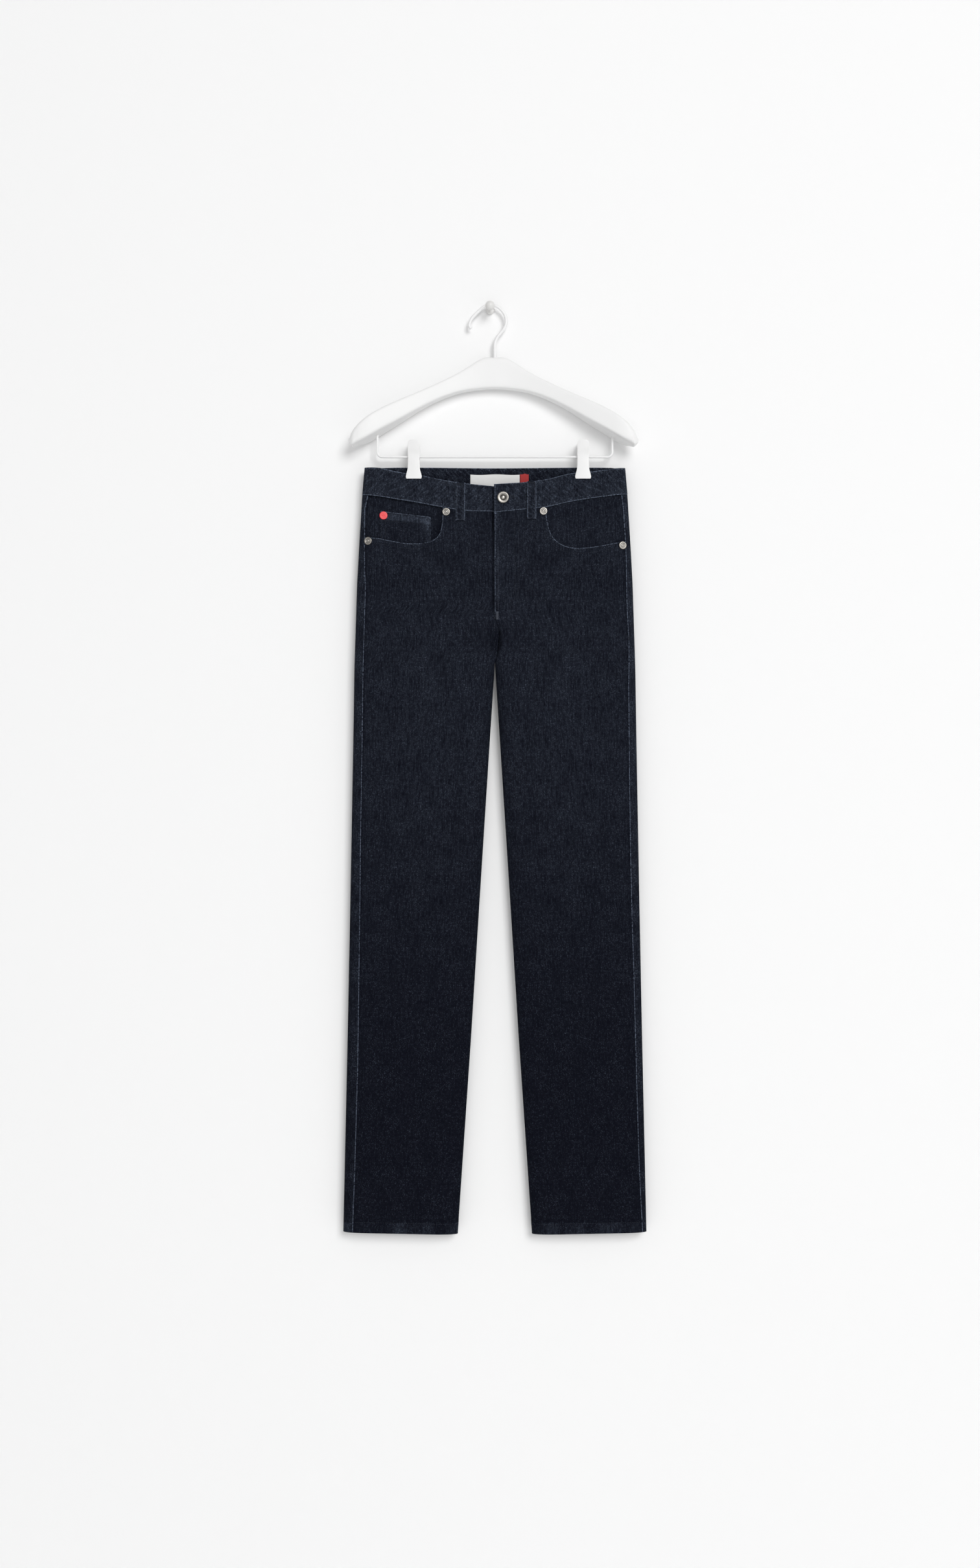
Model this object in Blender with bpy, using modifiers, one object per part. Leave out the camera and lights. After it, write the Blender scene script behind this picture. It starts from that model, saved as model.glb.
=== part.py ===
"""Straight leg jeans on a clip hanger, hung from a wall peg.

The jeans hang flat, as a wearer would face the viewer: the front looks along -Y, up is +Z, and left and right
are the wearer's own, so right lies at -X. The origin is where the peg meets the wall.

Sizes are in millimetres, and MM turns them into Blender's metres. Cloth heights run down from the waist line,
so they are negative, and cloth depths are measured from the plane midway between the front and the back.
"""

import math
from collections import namedtuple

import bmesh
import bpy
from mathutils import Matrix, Vector

MM = 0.001
FRONT, BACK = -1, 1
SIDES = (("right", -1), ("left", 1))

# Where the jeans and the hanger hang, measured from the peg
MIDDLE_X = 6.8
CLOTH_Y = -17.0
WAIST_Z = -225.9
HOOK_Y = -10.0

# Cloth
DENIM = 1.2
SEAM_GAP = 0.35
BAND_THICKNESS = 2.6
BAND_PROUD = 0.8
CROTCH_Z = -274.0
HEM_Z = -1063.3
HEM_HEIGHT = 17.0
HEM_DROP = 3.0
SIDE_SEAM_INSET = 13.0
PINCH_HEIGHT = 170.0

Section = namedtuple("Section", "z outer inner depth edge")
SECTIONS = (
    Section(3.0, 181.4, 0.2, 9.0, 14.0),
    Section(-37.0, 184.9, 0.2, 9.8, 19.0),
    Section(-110.0, 189.4, 0.2, 11.2, 28.0),
    Section(-160.0, 192.1, 0.2, 12.0, 34.0),
    Section(CROTCH_Z, 195.8, 0.4, 12.6, 34.0),
    Section(-290.0, 196.1, 1.2, 12.6, 34.0),
    Section(-376.0, 197.4, 6.8, 12.2, 34.0),
    Section(-610.0, 201.7, 21.8, 11.2, 34.0),
    Section(-790.0, 205.3, 33.0, 10.4, 34.0),
    Section(-1064.0, 211.4, 51.7, 9.0, 34.0),
)

# The waistband's edges on the front, at distances from the middle
BandEdge = namedtuple("BandEdge", "x right_top right_bottom left_top left_bottom")
BAND_EDGES = (
    BandEdge(0.0, -25.2, -60.2, -22.6, -61.8),
    BandEdge(45.0, -20.8, -58.6, -19.2, -56.7),
    BandEdge(75.0, -15.6, -53.6, -14.6, -53.0),
    BandEdge(105.0, -9.0, -47.7, -7.0, -46.0),
    BandEdge(135.0, -5.0, -42.8, -4.4, -41.0),
    BandEdge(160.0, -1.0, -39.0, -2.2, -38.0),
    BandEdge(183.0, 0.0, -36.6, -0.5, -35.7),
)
BACK_BAND_TOP = 2.3
BACK_BAND_BOTTOM = -37.0

# The line where the two fronts meet, which wanders below the fly
Centre = namedtuple("Centre", "z x")
CENTRE_LINE = (
    Centre(0.0, -1.5),
    Centre(-205.0, -1.5),
    Centre(-220.0, 4.5),
    Centre(-230.0, 6.5),
    Centre(-260.0, 3.0),
    Centre(CROTCH_Z, 0.0),
)
FLY_END = -190.0
FLY_CLOSE = -205.0
FLY_FLAT = -225.0
FLY_UNDERLAP = 12.0

# Heights of the panels' rows below the waistband, shared by all that lies on the panels
ROWS = (-88.0, -112.0, -138.0, -165.0, -190.0, -205.0, -225.0, -245.0, -262.0, -270.0, CROTCH_Z + 0.2, CROTCH_Z,
        -284.0, -304.0, -334.0, -374.0, -424.0, -482.0, -545.0, -610.0, -680.0, -750.0, -820.0, -890.0, -955.0,
        -1008.0, HEM_Z + HEM_HEIGHT, HEM_Z)
BODY_STEPS = (0.0, 1.5, 5.0, 10.0, 19.0, 34.0)
LEG_STEPS = (0.0, 1.0, 3.0, 7.5, 16.0, 34.0)
INSEAM = (SEAM_GAP / 2.0, 1.6)
MIDDLE_STEPS = 5
EDGE_STEPS = (34.0, 22.0, SIDE_SEAM_INSET)
FOLD_STEPS = (6.0, 1.5, 0.0)

# Soft folds: each runs from one end to the other and sinks the face it lies on
Fold = namedtuple("Fold", "face x0 z0 x1 z1 width depth")
FOLDS = (
    Fold(FRONT, -10, -262, -66, -232, 9, 2.2),
    Fold(FRONT, 12, -260, 70, -228, 9, 2.2),
    Fold(FRONT, -34, -214, -104, -184, 11, 1.2),
    Fold(FRONT, 40, -208, 108, -180, 11, 1.2),
    Fold(FRONT, 42, -690, 84, -1010, 16, 2.6),
    Fold(FRONT, -112, -770, -92, -1010, 18, 1.8),
    Fold(FRONT, 122, -540, 130, -740, 22, 1.2),
    Fold(FRONT, -132, -400, -122, -600, 22, 1.1),
    Fold(BACK, -28, -306, -128, -292, 10, 2.6),
    Fold(BACK, 30, -302, 124, -296, 10, 2.4),
    Fold(BACK, -34, -340, -112, -326, 12, 1.6),
    Fold(BACK, 36, -346, 104, -330, 12, 1.7),
    Fold(BACK, -158, -636, -74, -652, 14, 1.9),
    Fold(BACK, 70, -628, 152, -646, 14, 1.7),
    Fold(BACK, -150, -700, -88, -716, 15, 1.3),
    Fold(BACK, 84, -704, 150, -690, 15, 1.4),
    Fold(BACK, -128, -800, -118, -1010, 20, 1.4),
    Fold(BACK, 132, -790, 120, -1000, 20, 1.5),
)

# Front pocket mouths, from the inner rivet round to the side seam
POCKET_MOUTHS = {
    "right": ((-72.3, -50.0), (-72.6, -66.0), (-73.7, -79.4), (-76.0, -89.0), (-80.5, -96.5), (-90.9, -102.4),
              (-107.5, -104.9), (-124.0, -104.6), (-146.0, -101.0), (-166.7, -97.4), (-200.0, -95.5)),
    "left": ((71.3, -50.0), (71.7, -65.3), (73.4, -77.5), (77.0, -89.5), (82.5, -98.6), (92.0, -106.0),
             (105.0, -110.6), (121.6, -111.4), (145.7, -108.4), (169.7, -104.0), (200.0, -100.0)),
}
FACING_INNER = 58.0
FACING_BOTTOM = -138.0
FACING_INSET = {"right": 3.9, "left": 1.75}
COIN_INSET = 1.8
COIN_POCKET = {"inner": -89.5, "outer": -159.4, "top_inner": -67.5, "top_outer": -59.4, "bottom": -124.0}

# Back
YOKE_CENTRE = -104.0
YOKE_SIDE = -72.0
BACK_POCKET = {"inner": 31.0, "outer": 153.0, "top_inner": -132.0, "top_outer": -120.0,
               "side": 122.0, "point": 140.0, "taper": 7.0}
ON_CLOTH = 0.4

# Belt loops: place of the middle at the waistband, and the face
BELT_LOOPS = (
    ("belt_loop_front_right", -48.0, FRONT),
    ("belt_loop_front_left", 51.0, FRONT),
    ("belt_loop_back_right", -84.0, BACK),
    ("belt_loop_back_middle", 0.0, BACK),
    ("belt_loop_back_left", 84.0, BACK),
)
LOOP_WIDTH = 12.8
LOOP_THICKNESS = 1.8
LOOP_TAIL = 15.0

# Metal and labels
BUTTON = {"x": 11.3, "z": -41.4, "radius": 8.2}
RIVETS = (
    ("rivet_inner_right", -67.8, -60.6),
    ("rivet_inner_left", 67.6, -59.7),
    ("rivet_outer_right", -176.2, -101.4),
    ("rivet_outer_left", 177.6, -107.6),
)
RED_RIVET = {"x": -154.8, "z": -65.6}
RIVET_RADIUS = 5.3
LABEL = {"x0": -34.2, "x1": 34.6, "top": -9.0, "bottom": -33.0}
SIZE_TAB = {"x0": 35.4, "x1": 47.2, "top": -8.6, "bottom": -25.0}
LABEL_THICKNESS = 0.5

# Hanger
Arm = namedtuple("Arm", "x top bottom front back slant")
ARMS = (
    Arm(0.0, 155.6, 113.6, -19.0, -1.5, 0.0),
    Arm(16.0, 155.2, 112.9, -19.0, -1.5, 0.0),
    Arm(24.0, 151.0, 112.0, -19.2, -1.5, 0.0),
    Arm(35.0, 143.6, 110.5, -19.8, -1.5, 0.0),
    Arm(50.0, 134.2, 107.3, -21.0, -1.5, 0.0),
    Arm(75.0, 120.9, 98.1, -24.0, -1.5, 0.0),
    Arm(103.0, 107.5, 83.6, -28.0, -1.5, 0.0),
    Arm(130.0, 95.3, 67.5, -32.5, -1.5, 1.6),
    Arm(158.0, 81.5, 51.6, -37.0, -1.5, 3.6),
    Arm(178.0, 68.3, 39.5, -40.0, -4.0, 3.6),
    Arm(190.0, 57.5, 33.0, -40.0, -11.0, 1.8),
    Arm(196.0, 49.0, 30.2, -38.5, -19.0, 0.8),
    Arm(199.5, 40.5, 33.0, -34.0, -28.0, 0.0),
)
HANGER_SHIFT = 2.0
HANGER_ROUNDNESS = 4.0
HANGER_POINTS = 16
BAR_Z = 16.7
BAR_HALF = 163.7
BAR_CORNER = 7.0
BAR_RADIUS = 1.6
HOLE_DEPTH = 9.0
HOLE_CLEARANCE = 0.35
HOOK_RADIUS = 2.2

# The hook's route from its stem round over the peg to its tip, measured from the peg
HOOK_ROUTE = ((6.8, -78.0), (6.8, -62.0), (6.8, -50.0), (9.3, -42.0), (13.8, -35.6), (18.6, -29.8), (21.8, -23.5),
              (22.7, -17.0), (21.4, -10.6), (18.4, -4.9), (13.6, 0.2), (7.4, 3.8), (0.0, 5.0), (-7.4, 3.0),
              (-14.4, -2.6), (-20.8, -8.6), (-25.8, -14.6), (-28.4, -20.6), (-28.6, -25.4), (-26.4, -28.2))
HOOK_SMOOTHING = 2

# Clips
CLIP_PLACES = (("clip_right", -112.9), ("clip_left", 122.8))
ClipRow = namedtuple("ClipRow", "z half_width depth")
CLIP_ROWS = (
    ClipRow(39.3, 4.6, 10.0),
    ClipRow(38.2, 6.6, 9.9),
    ClipRow(35.5, 8.0, 9.6),
    ClipRow(30.0, 8.3, 8.9),
    ClipRow(20.0, 8.2, 6.6),
    ClipRow(8.0, 8.1, 6.3),
    ClipRow(-2.0, 8.8, 6.3),
    ClipRow(-8.0, 10.4, 6.4),
    ClipRow(-13.1, 10.8, 6.5),
    ClipRow(-14.3, 10.2, 6.4),
)
CLIP_COLUMNS = (-1.0, -0.72, 0.0, 0.72, 1.0)
CLIP_CROWN = 0.4
CLIP_THICKNESS = 1.6
SPRING_RADIUS = 4.3
SPRING_HALF = 6.5

# Peg
PEG_NECK = 2.4
PEG_PROFILE = ((0.0, 0.0), (6.2, 0.0), (6.2, 3.8), (5.2, 5.2), (PEG_NECK, 6.4), (PEG_NECK, 13.8), (4.4, 15.4))
PEG_COLLAR = 4.4
PEG_BALL_RADIUS = 6.5
PEG_BALL_CENTRE = 25.5

FINISHES = {
    "denim": ((0.013, 0.017, 0.030), 0.85, 0.0),
    "denim_band": ((0.018, 0.023, 0.038), 0.85, 0.0),
    "metal": ((0.42, 0.38, 0.33), 0.35, 1.0),
    "red_metal": ((0.75, 0.03, 0.04), 0.35, 0.4),
    "label": ((0.80, 0.80, 0.80), 0.55, 0.0),
    "red_tab": ((0.45, 0.03, 0.03), 0.6, 0.0),
    "hanger_white": ((0.80, 0.80, 0.79), 0.45, 0.0),
    "clip_white": ((0.76, 0.76, 0.75), 0.40, 0.0),
    "wire": ((0.80, 0.80, 0.80), 0.30, 0.6),
    "peg": ((0.55, 0.53, 0.50), 0.30, 0.8),
}


def clear_scene():
    for thing in list(bpy.data.objects):
        bpy.data.objects.remove(thing, do_unlink=True)


def make_material(finish):
    """A Principled material for one of the finishes, made once."""
    if finish in bpy.data.materials:
        return bpy.data.materials[finish]
    colour, roughness, metallic = FINISHES[finish]
    material = bpy.data.materials.new(finish)
    material.use_nodes = True
    shader = material.node_tree.nodes["Principled BSDF"]
    shader.inputs["Base Color"].default_value = (*colour, 1.0)
    shader.inputs["Roughness"].default_value = roughness
    shader.inputs["Metallic"].default_value = metallic
    material.diffuse_color = (*colour, 1.0)
    return material


def ease(t):
    """A smooth step from 0 to 1."""
    t = min(max(t, 0.0), 1.0)
    return t * t * (3.0 - 2.0 * t)


def mix(a, b, t):
    return a + (b - a) * t


def read(table, place, column):
    """A column of a table at a place, by straight lines between rows that are sorted by their first column."""
    rows = sorted(table, key=lambda row: row[0])
    if place <= rows[0][0]:
        return getattr(rows[0], column)
    for low, high in zip(rows, rows[1:]):
        if place <= high[0]:
            share = (place - low[0]) / (high[0] - low[0])
            return mix(getattr(low, column), getattr(high, column), share)
    return getattr(rows[-1], column)


# The form of the cloth


def waist_depth(x):
    """Half the depth at the waist: open in the middle, pinched at the clips, a little open at the sides."""
    middle, pinched, side = 8.4, 3.2, 7.0
    clip = abs(CLIP_PLACES[0][1]) if x < 0 else CLIP_PLACES[1][1]
    away = abs(x)
    if away < clip:
        return mix(pinched, middle, 0.5 + 0.5 * math.cos(math.pi * away / clip))
    return mix(pinched, side, ease((away - clip - 22.0) / 30.0))


def fold_depth(x, z, face):
    """How far the folds sink a face at a place."""
    depth = 0.0
    for fold in FOLDS:
        if fold.face != face:
            continue
        run = Vector((fold.x1 - fold.x0, fold.z1 - fold.z0))
        here = Vector((x - fold.x0, z - fold.z0))
        share = min(max(here.dot(run) / run.length_squared, 0.0), 1.0)
        away = (here - run * share).length / fold.width
        depth += fold.depth * math.exp(-away * away) * math.sin(math.pi * mix(0.12, 0.88, share))
    return depth


def rounded(distance, reach):
    """The profile of a folded edge: 0 at the edge, 1 past its reach, along a quarter of an ellipse."""
    if distance >= reach:
        return 1.0
    share = 1.0 - max(distance, 0.0) / reach
    return math.sqrt(1.0 - share * share)


def skin(x, z, face, inset=0.0):
    """The depth of the cloth's outer surface at a place, or of a surface that lies inset below it."""
    row = {column: read(SECTIONS, z, column) for column in ("outer", "inner", "depth", "edge")}
    pinch = ease((BACK_BAND_TOP - z) / PINCH_HEIGHT)
    half = mix(waist_depth(x), row["depth"], pinch) - inset
    half -= fold_depth(x, z, face)
    reach = row["edge"] - inset
    from_outer = row["outer"] - inset - abs(x)
    if z > CROTCH_Z:
        from_inner = math.hypot(x, z - CROTCH_Z) - inset
    else:
        from_inner = abs(x) - row["inner"] - inset
    return face * half * rounded(from_outer, reach) * rounded(from_inner, reach)


def point(x, y, z):
    return Vector((x, y, z)) * MM


def outer_edge(z):
    return read(SECTIONS, z, "outer")


def inner_edge(z):
    return read(SECTIONS, z, "inner")


def band_edge(x, side, edge):
    return read(BAND_EDGES, abs(x), f"{side}_{edge}")


def inner_steps(z):
    """Distances of the first columns from the inner edge: finer where the leg's edge is folded."""
    share = ease((-245.0 - z) / (-245.0 - CROTCH_Z))
    return [mix(body, leg, share) for body, leg in zip(BODY_STEPS, LEG_STEPS)]


def columns(z, sign, start):
    """The places across one half of the front or back, from its inner edge to where the side edge rounds away."""
    near = [start + sign * step for step in inner_steps(z)]
    far = sign * (outer_edge(z) - EDGE_STEPS[0])
    middle = [mix(near[-1], far, step / MIDDLE_STEPS) for step in range(1, MIDDLE_STEPS)]
    return near + middle + [far]


def side_columns(z, sign):
    """The rest of the places on a face, from where it starts to round away to the side seam's distance."""
    return [sign * (outer_edge(z) - step) for step in EDGE_STEPS[1:]]


def fold_columns(z, sign):
    """The places round the side edge, from the seam's distance to the edge itself."""
    return [sign * (outer_edge(z) - step) for step in FOLD_STEPS]


# Making objects


def empty(name, x, y, z):
    thing = bpy.data.objects.new(name, None)
    thing.location = point(x, y, z)
    bpy.context.scene.collection.objects.link(thing)
    return thing


def add_object(name, mesh, finish, parent):
    """An object of a mesh or curve, in the part's collection, with its finish and its parent."""
    thing = bpy.data.objects.new(name, mesh)
    mesh.materials.append(make_material(finish))
    thing.parent = parent
    bpy.data.collections["straight_leg_jeans"].objects.link(thing)
    return thing


def surface(name, rows, toward, ring=False):
    """An open mesh through rows of points, whose middle faces look toward the given direction."""
    mesh = bpy.data.meshes.new(name)
    count = len(rows[0])
    spans = count if ring else count - 1
    faces = [
        (i * count + j, i * count + (j + 1) % count, (i + 1) * count + (j + 1) % count, (i + 1) * count + j)
        for i in range(len(rows) - 1)
        for j in range(spans)
    ]
    mesh.from_pydata([p for row in rows for p in row], [], faces)
    mesh.update()
    probe = mesh.polygons[(len(rows) - 1) // 2 * spans + spans // 2]
    if probe.normal.dot(Vector(toward)) < 0.0:
        mesh.flip_normals()
    mesh.shade_smooth()
    return mesh


def cloth(name, rows, toward, thickness, parent, finish="denim", ring=False):
    """A wall of cloth: its outer surface through rows of points, and its thickness behind it."""
    thing = add_object(name, surface(name, rows, toward, ring), finish, parent)
    wall = thing.modifiers.new("Thickness", "SOLIDIFY")
    wall.thickness = thickness * MM
    wall.offset = -1.0
    wall.use_even_offset = True
    return thing


def turned(name, profile, steps, finish, parent):
    """A body turned about Z from a profile of radius and height, which runs from top to bottom."""
    mesh = bpy.data.meshes.new(name)
    points = [point(radius, 0.0, height) for radius, height in profile]
    mesh.from_pydata(points, [(i, i + 1) for i in range(len(points) - 1)], [])
    thing = add_object(name, mesh, finish, parent)
    screw = thing.modifiers.new("Turn", "SCREW")
    screw.steps = screw.render_steps = steps
    screw.use_merge_vertices = True
    screw.merge_threshold = 0.00001
    return thing


def arc(centre_radius, centre_height, radius, start, end, steps):
    """Points on an arc of a profile, by angles in degrees from the axis's outward direction."""
    angles = [math.radians(mix(start, end, step / steps)) for step in range(steps + 1)]
    return [(centre_radius + radius * math.cos(a), centre_height + radius * math.sin(a)) for a in angles]


def wire(name, route, radius, finish, parent):
    """A round wire through points, as a straight-sided curve with filled ends."""
    curve = bpy.data.curves.new(name, "CURVE")
    curve.dimensions = "3D"
    curve.bevel_depth = radius * MM
    curve.bevel_resolution = 2
    curve.use_fill_caps = True
    spline = curve.splines.new("POLY")
    spline.points.add(len(route) - 1)
    for target, place in zip(spline.points, route):
        target.co = (*point(*place), 1.0)
    return add_object(name, curve, finish, parent)


def smooth_route(route, steps):
    """Points of a smooth curve through a route's own points."""
    places = [Vector(place) for place in route]
    places = [2 * places[0] - places[1], *places, 2 * places[-1] - places[-2]]
    result = []
    for a, b, c, d in zip(places, places[1:], places[2:], places[3:]):
        for step in range(steps):
            t = step / steps
            result.append(0.5 * (2 * b + (c - a) * t + (2 * a - 5 * b + 4 * c - d) * t * t
                                 + (3 * b - a - 3 * c + d) * t * t * t))
    return result + [places[-2]]


def cutter_collection():
    return bpy.data.collections["cutters"]


def add_cutter(name, mesh, parent):
    """A hidden object that cuts another."""
    thing = bpy.data.objects.new(name, mesh)
    thing.parent = parent
    thing.hide_render = True
    thing.display_type = "WIRE"
    cutter_collection().objects.link(thing)
    return thing


def prism_cutter(name, outline, near, far, parent):
    """A cutter whose outline, of x and z, runs from one depth to another."""
    bed = bmesh.new()
    face = bed.faces.new([bed.verts.new(point(x, near, z)) for x, z in outline])
    grown = bmesh.ops.extrude_face_region(bed, geom=[face])["geom"]
    moved = [part for part in grown if isinstance(part, bmesh.types.BMVert)]
    bmesh.ops.translate(bed, verts=moved, vec=point(0.0, far - near, 0.0))
    bmesh.ops.recalc_face_normals(bed, faces=bed.faces)
    mesh = bpy.data.meshes.new(name)
    bed.to_mesh(mesh)
    bed.free()
    return add_cutter(name, mesh, parent)


def hole_cutter(name, x, y, low, high, radius, parent):
    """An upright round cutter."""
    bed = bmesh.new()
    place = Matrix.Translation(point(x, y, (low + high) / 2))
    bmesh.ops.create_cone(bed, cap_ends=True, segments=12, radius1=radius * MM, radius2=radius * MM,
                          depth=(high - low) * MM, matrix=place)
    mesh = bpy.data.meshes.new(name)
    bed.to_mesh(mesh)
    bed.free()
    return add_cutter(name, mesh, parent)


def cut(thing, cutter):
    knife = thing.modifiers.new(cutter.name, "BOOLEAN")
    knife.operation = "DIFFERENCE"
    knife.object = cutter


# Legs and seat


def fly_lap(x, z):
    """How far the left front stands out over the fly, and the right front sinks under it."""
    closing = 1.0 - ease((FLY_CLOSE - z) / (FLY_CLOSE - FLY_FLAT))
    over = 1.0 - ease((x - 18.0) / 22.0)
    under = 1.0 - ease((-10.0 - x) / 24.0)
    return closing * over, closing * under


def front_inset(side, x, z, share=1.0):
    """The front cloth's inset near the fly: the left lies over the right."""
    over, under = fly_lap(x, z)
    lap = (DENIM + SEAM_GAP) / 2.0 * share
    return -lap * over if side == "left" else lap * under


def front_start(side, sign, z):
    """The inner edge of a front: at the centre line above the crotch, at the leg's edge below it."""
    start = read(CENTRE_LINE, z, "x") + sign * inner_edge(z)
    if side == "right":
        start += FLY_UNDERLAP * (1.0 - ease((FLY_END - z) / (FLY_END - FLY_CLOSE)))
    return start


def hem_sag(x, z):
    """The hem's lower edge drops a little towards the inner leg."""
    if z > HEM_Z + HEM_HEIGHT:
        return 0.0
    reach = (outer_edge(HEM_Z) - abs(x)) / (outer_edge(HEM_Z) - inner_edge(HEM_Z))
    return -HEM_DROP * reach


def front_rows(side, sign):
    """Rows of places on a front: the first two follow the waistband, the others are level."""
    rows = []
    for index, level in enumerate((-45.0, -68.0) + ROWS):
        across = columns(level, sign, front_start(side, sign, level)) + side_columns(level, sign)
        row = []
        for x in across:
            top = band_edge(x, side, "bottom") - SEAM_GAP
            row.append((x, (top, mix(top, ROWS[0], 0.5))[index] if index < 2 else level))
        rows.append(row)
    return rows


def front(side, sign, parent):
    rows = []
    for places in front_rows(side, sign):
        row = []
        for index, (x, z) in enumerate(places):
            y = skin(x, z, FRONT, front_inset(side, x, z))
            if index < 2 and z <= CROTCH_Z:
                x, y = places[0][0], FRONT * INSEAM[index]
            row.append(point(x, y, z + hem_sag(x, z)))
        rows.append(row)
    panel = cloth(f"front_{side}", rows, (0, FRONT, 0), DENIM, parent)
    mouth = POCKET_MOUTHS[side]
    outline = [*mouth, (sign * 200.0, -20.0), (mouth[0][0], -20.0)]
    cut(panel, prism_cutter(f"pocket_mouth_{side}", outline, -40.0, 6.0, parent))
    return panel


def back_top(x):
    """The seam between the yoke and the back."""
    return mix(YOKE_CENTRE, YOKE_SIDE, min(abs(x) / outer_edge(YOKE_SIDE), 1.0))


def back_band_bottom(x, face, side):
    if face == BACK:
        share = ease((outer_edge(BACK_BAND_BOTTOM) - abs(x)) / 40.0)
        return mix(band_edge(x, side, "bottom"), BACK_BAND_BOTTOM, share)
    return band_edge(x, side, "bottom")


def wrapped_places(level, sign):
    """Places round the side edge and across the back: from the seam on the front to the inner edge of the back."""
    seam = sign * (outer_edge(level) - SIDE_SEAM_INSET + SEAM_GAP)
    folded = fold_columns(level, sign)
    flat = columns(level, sign, sign * inner_edge(level))
    places = [(seam, FRONT), *((x, FRONT) for x in folded)]
    places += [(x, BACK) for x in reversed(folded[:-1])]
    places += [(x, BACK) for x in reversed(side_columns(level, sign))]
    return places + [(x, BACK) for x in reversed(flat)]


def wrapped_row(level, sign, height):
    """A row of points round the side edge and across the back, at heights given by a function."""
    row = []
    places = wrapped_places(level, sign)
    for index, (x, face) in enumerate(places):
        z = height(x, face)
        y = skin(x, z, face)
        from_end = len(places) - 1 - index
        if from_end < 2 and z <= CROTCH_Z:
            x, y = places[-1][0], BACK * INSEAM[from_end]
        row.append(point(x, y, z + hem_sag(x, z)))
    return row


def yoke(side, sign, parent):
    """A yoke between the waistband and the back, which turns to the front at the side."""
    rows = []
    for step in range(4):
        def height(x, face, share=step / 3):
            return mix(back_band_bottom(x, face, side) - SEAM_GAP, back_top(x) + SEAM_GAP / 2.0, share)

        rows.append(wrapped_row(mix(-40.0, -80.0, step / 3), sign, height))
    return cloth(f"yoke_{side}", rows, (0, BACK, 0), DENIM, parent)


def back(side, sign, parent):
    """A back from the yoke to the hem, which turns to the front at the side."""
    rows = []
    first = -138.0
    for share in (0.0, 0.5):
        def height(x, face, share=share):
            return mix(back_top(x) - SEAM_GAP / 2.0, first, share)

        rows.append(wrapped_row(mix(-85.0, first, share), sign, height))
    for level in ROWS:
        if level <= first:
            rows.append(wrapped_row(level, sign, lambda x, face, level=level: level))
    return cloth(f"back_{side}", rows, (0, BACK, 0), DENIM, parent)


def hem(side, sign, parent):
    """The turned-up cloth inside a leg's hem, all round."""
    inset = DENIM + 0.6
    rows = []
    for level in (HEM_Z + HEM_HEIGHT, HEM_Z + HEM_HEIGHT / 2.0, HEM_Z):
        outer, inner = outer_edge(level) - inset, inner_edge(level) + inset
        reach = read(SECTIONS, level, "edge") - inset
        steps = [share * reach for share in (0.02, 0.16, 0.42, 1.0)]
        flat = [mix(inner + reach, outer - reach, step / MIDDLE_STEPS) for step in range(1, MIDDLE_STEPS)]
        across = [inner + step for step in steps] + flat + [outer - step for step in reversed(steps)]
        loop = [(inner, FRONT), *((x, FRONT) for x in across), (outer, FRONT), *((x, BACK) for x in reversed(across))]
        row = []
        for x, face in loop:
            y = skin(sign * x, level, face, inset)
            row.append(point(sign * x, y, level + hem_sag(x, level)))
        rows.append(row)
    return cloth(f"hem_{side}", rows, (sign, 0, 0), DENIM, parent, ring=True)


# Waistband


def band_rows(places, tops, bottoms):
    """Three rows of points down a waistband piece, from places of x, face and inset."""
    rows = []
    for share in (0.0, 0.5, 1.0):
        row = []
        for (x, face, inset), top, bottom in zip(places, tops, bottoms):
            z = mix(top, bottom, share)
            row.append(point(x, skin(x, z, face, inset - BAND_PROUD), z))
        rows.append(row)
    return rows


def band_inset(side, x):
    """The left end of the band lies over the right one: each gives way by half."""
    over, under = fly_lap(x, 0.0)
    lap = (BAND_THICKNESS + SEAM_GAP) / 2.0
    return -lap * over if side == "left" else lap * under


def band_front(side, sign, parent):
    """A front piece of the waistband, which turns to the back at the side."""
    level = -20.0
    start = front_start(side, sign, level)
    across = columns(level, sign, start) + side_columns(level, sign) + fold_columns(level, sign)
    places = [(x, FRONT, band_inset(side, x)) for x in across]
    turned_back = [*reversed(fold_columns(level, sign)[:-1]), *reversed(side_columns(level, sign))]
    places += [(x, BACK, 0.0) for x in turned_back]
    tops, bottoms = [], []
    for x, face, _ in places:
        share = ease((outer_edge(level) - abs(x)) / EDGE_STEPS[1])
        if face == BACK:
            tops.append(mix(band_edge(x, side, "top") + 0.8, BACK_BAND_TOP, share))
            bottoms.append(back_band_bottom(x, face, side))
        else:
            tops.append(mix(band_edge(x, side, "top") + 0.8, band_edge(x, side, "top"), share))
            bottoms.append(band_edge(x, side, "bottom"))
    rows = band_rows(places, tops, bottoms)
    return cloth(f"waistband_{side}", rows, (0, FRONT, 0), BAND_THICKNESS, parent, "denim_band")


def band_back(parent):
    level = -20.0
    half = columns(level, 1, 0.0)[1:] + side_columns(level, 1)[:1]
    half[-1] -= 3.0 * SEAM_GAP
    across = [-x for x in reversed(half)] + [0.0] + half
    places = [(x, BACK, 0.0) for x in across]
    tops = [BACK_BAND_TOP] * len(across)
    bottoms = [back_band_bottom(x, BACK, "left" if x > 0 else "right") for x in across]
    rows = band_rows(places, tops, bottoms)
    return cloth("waistband_back", rows, (0, BACK, 0), BAND_THICKNESS, parent, "denim_band")


# Pockets


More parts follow.
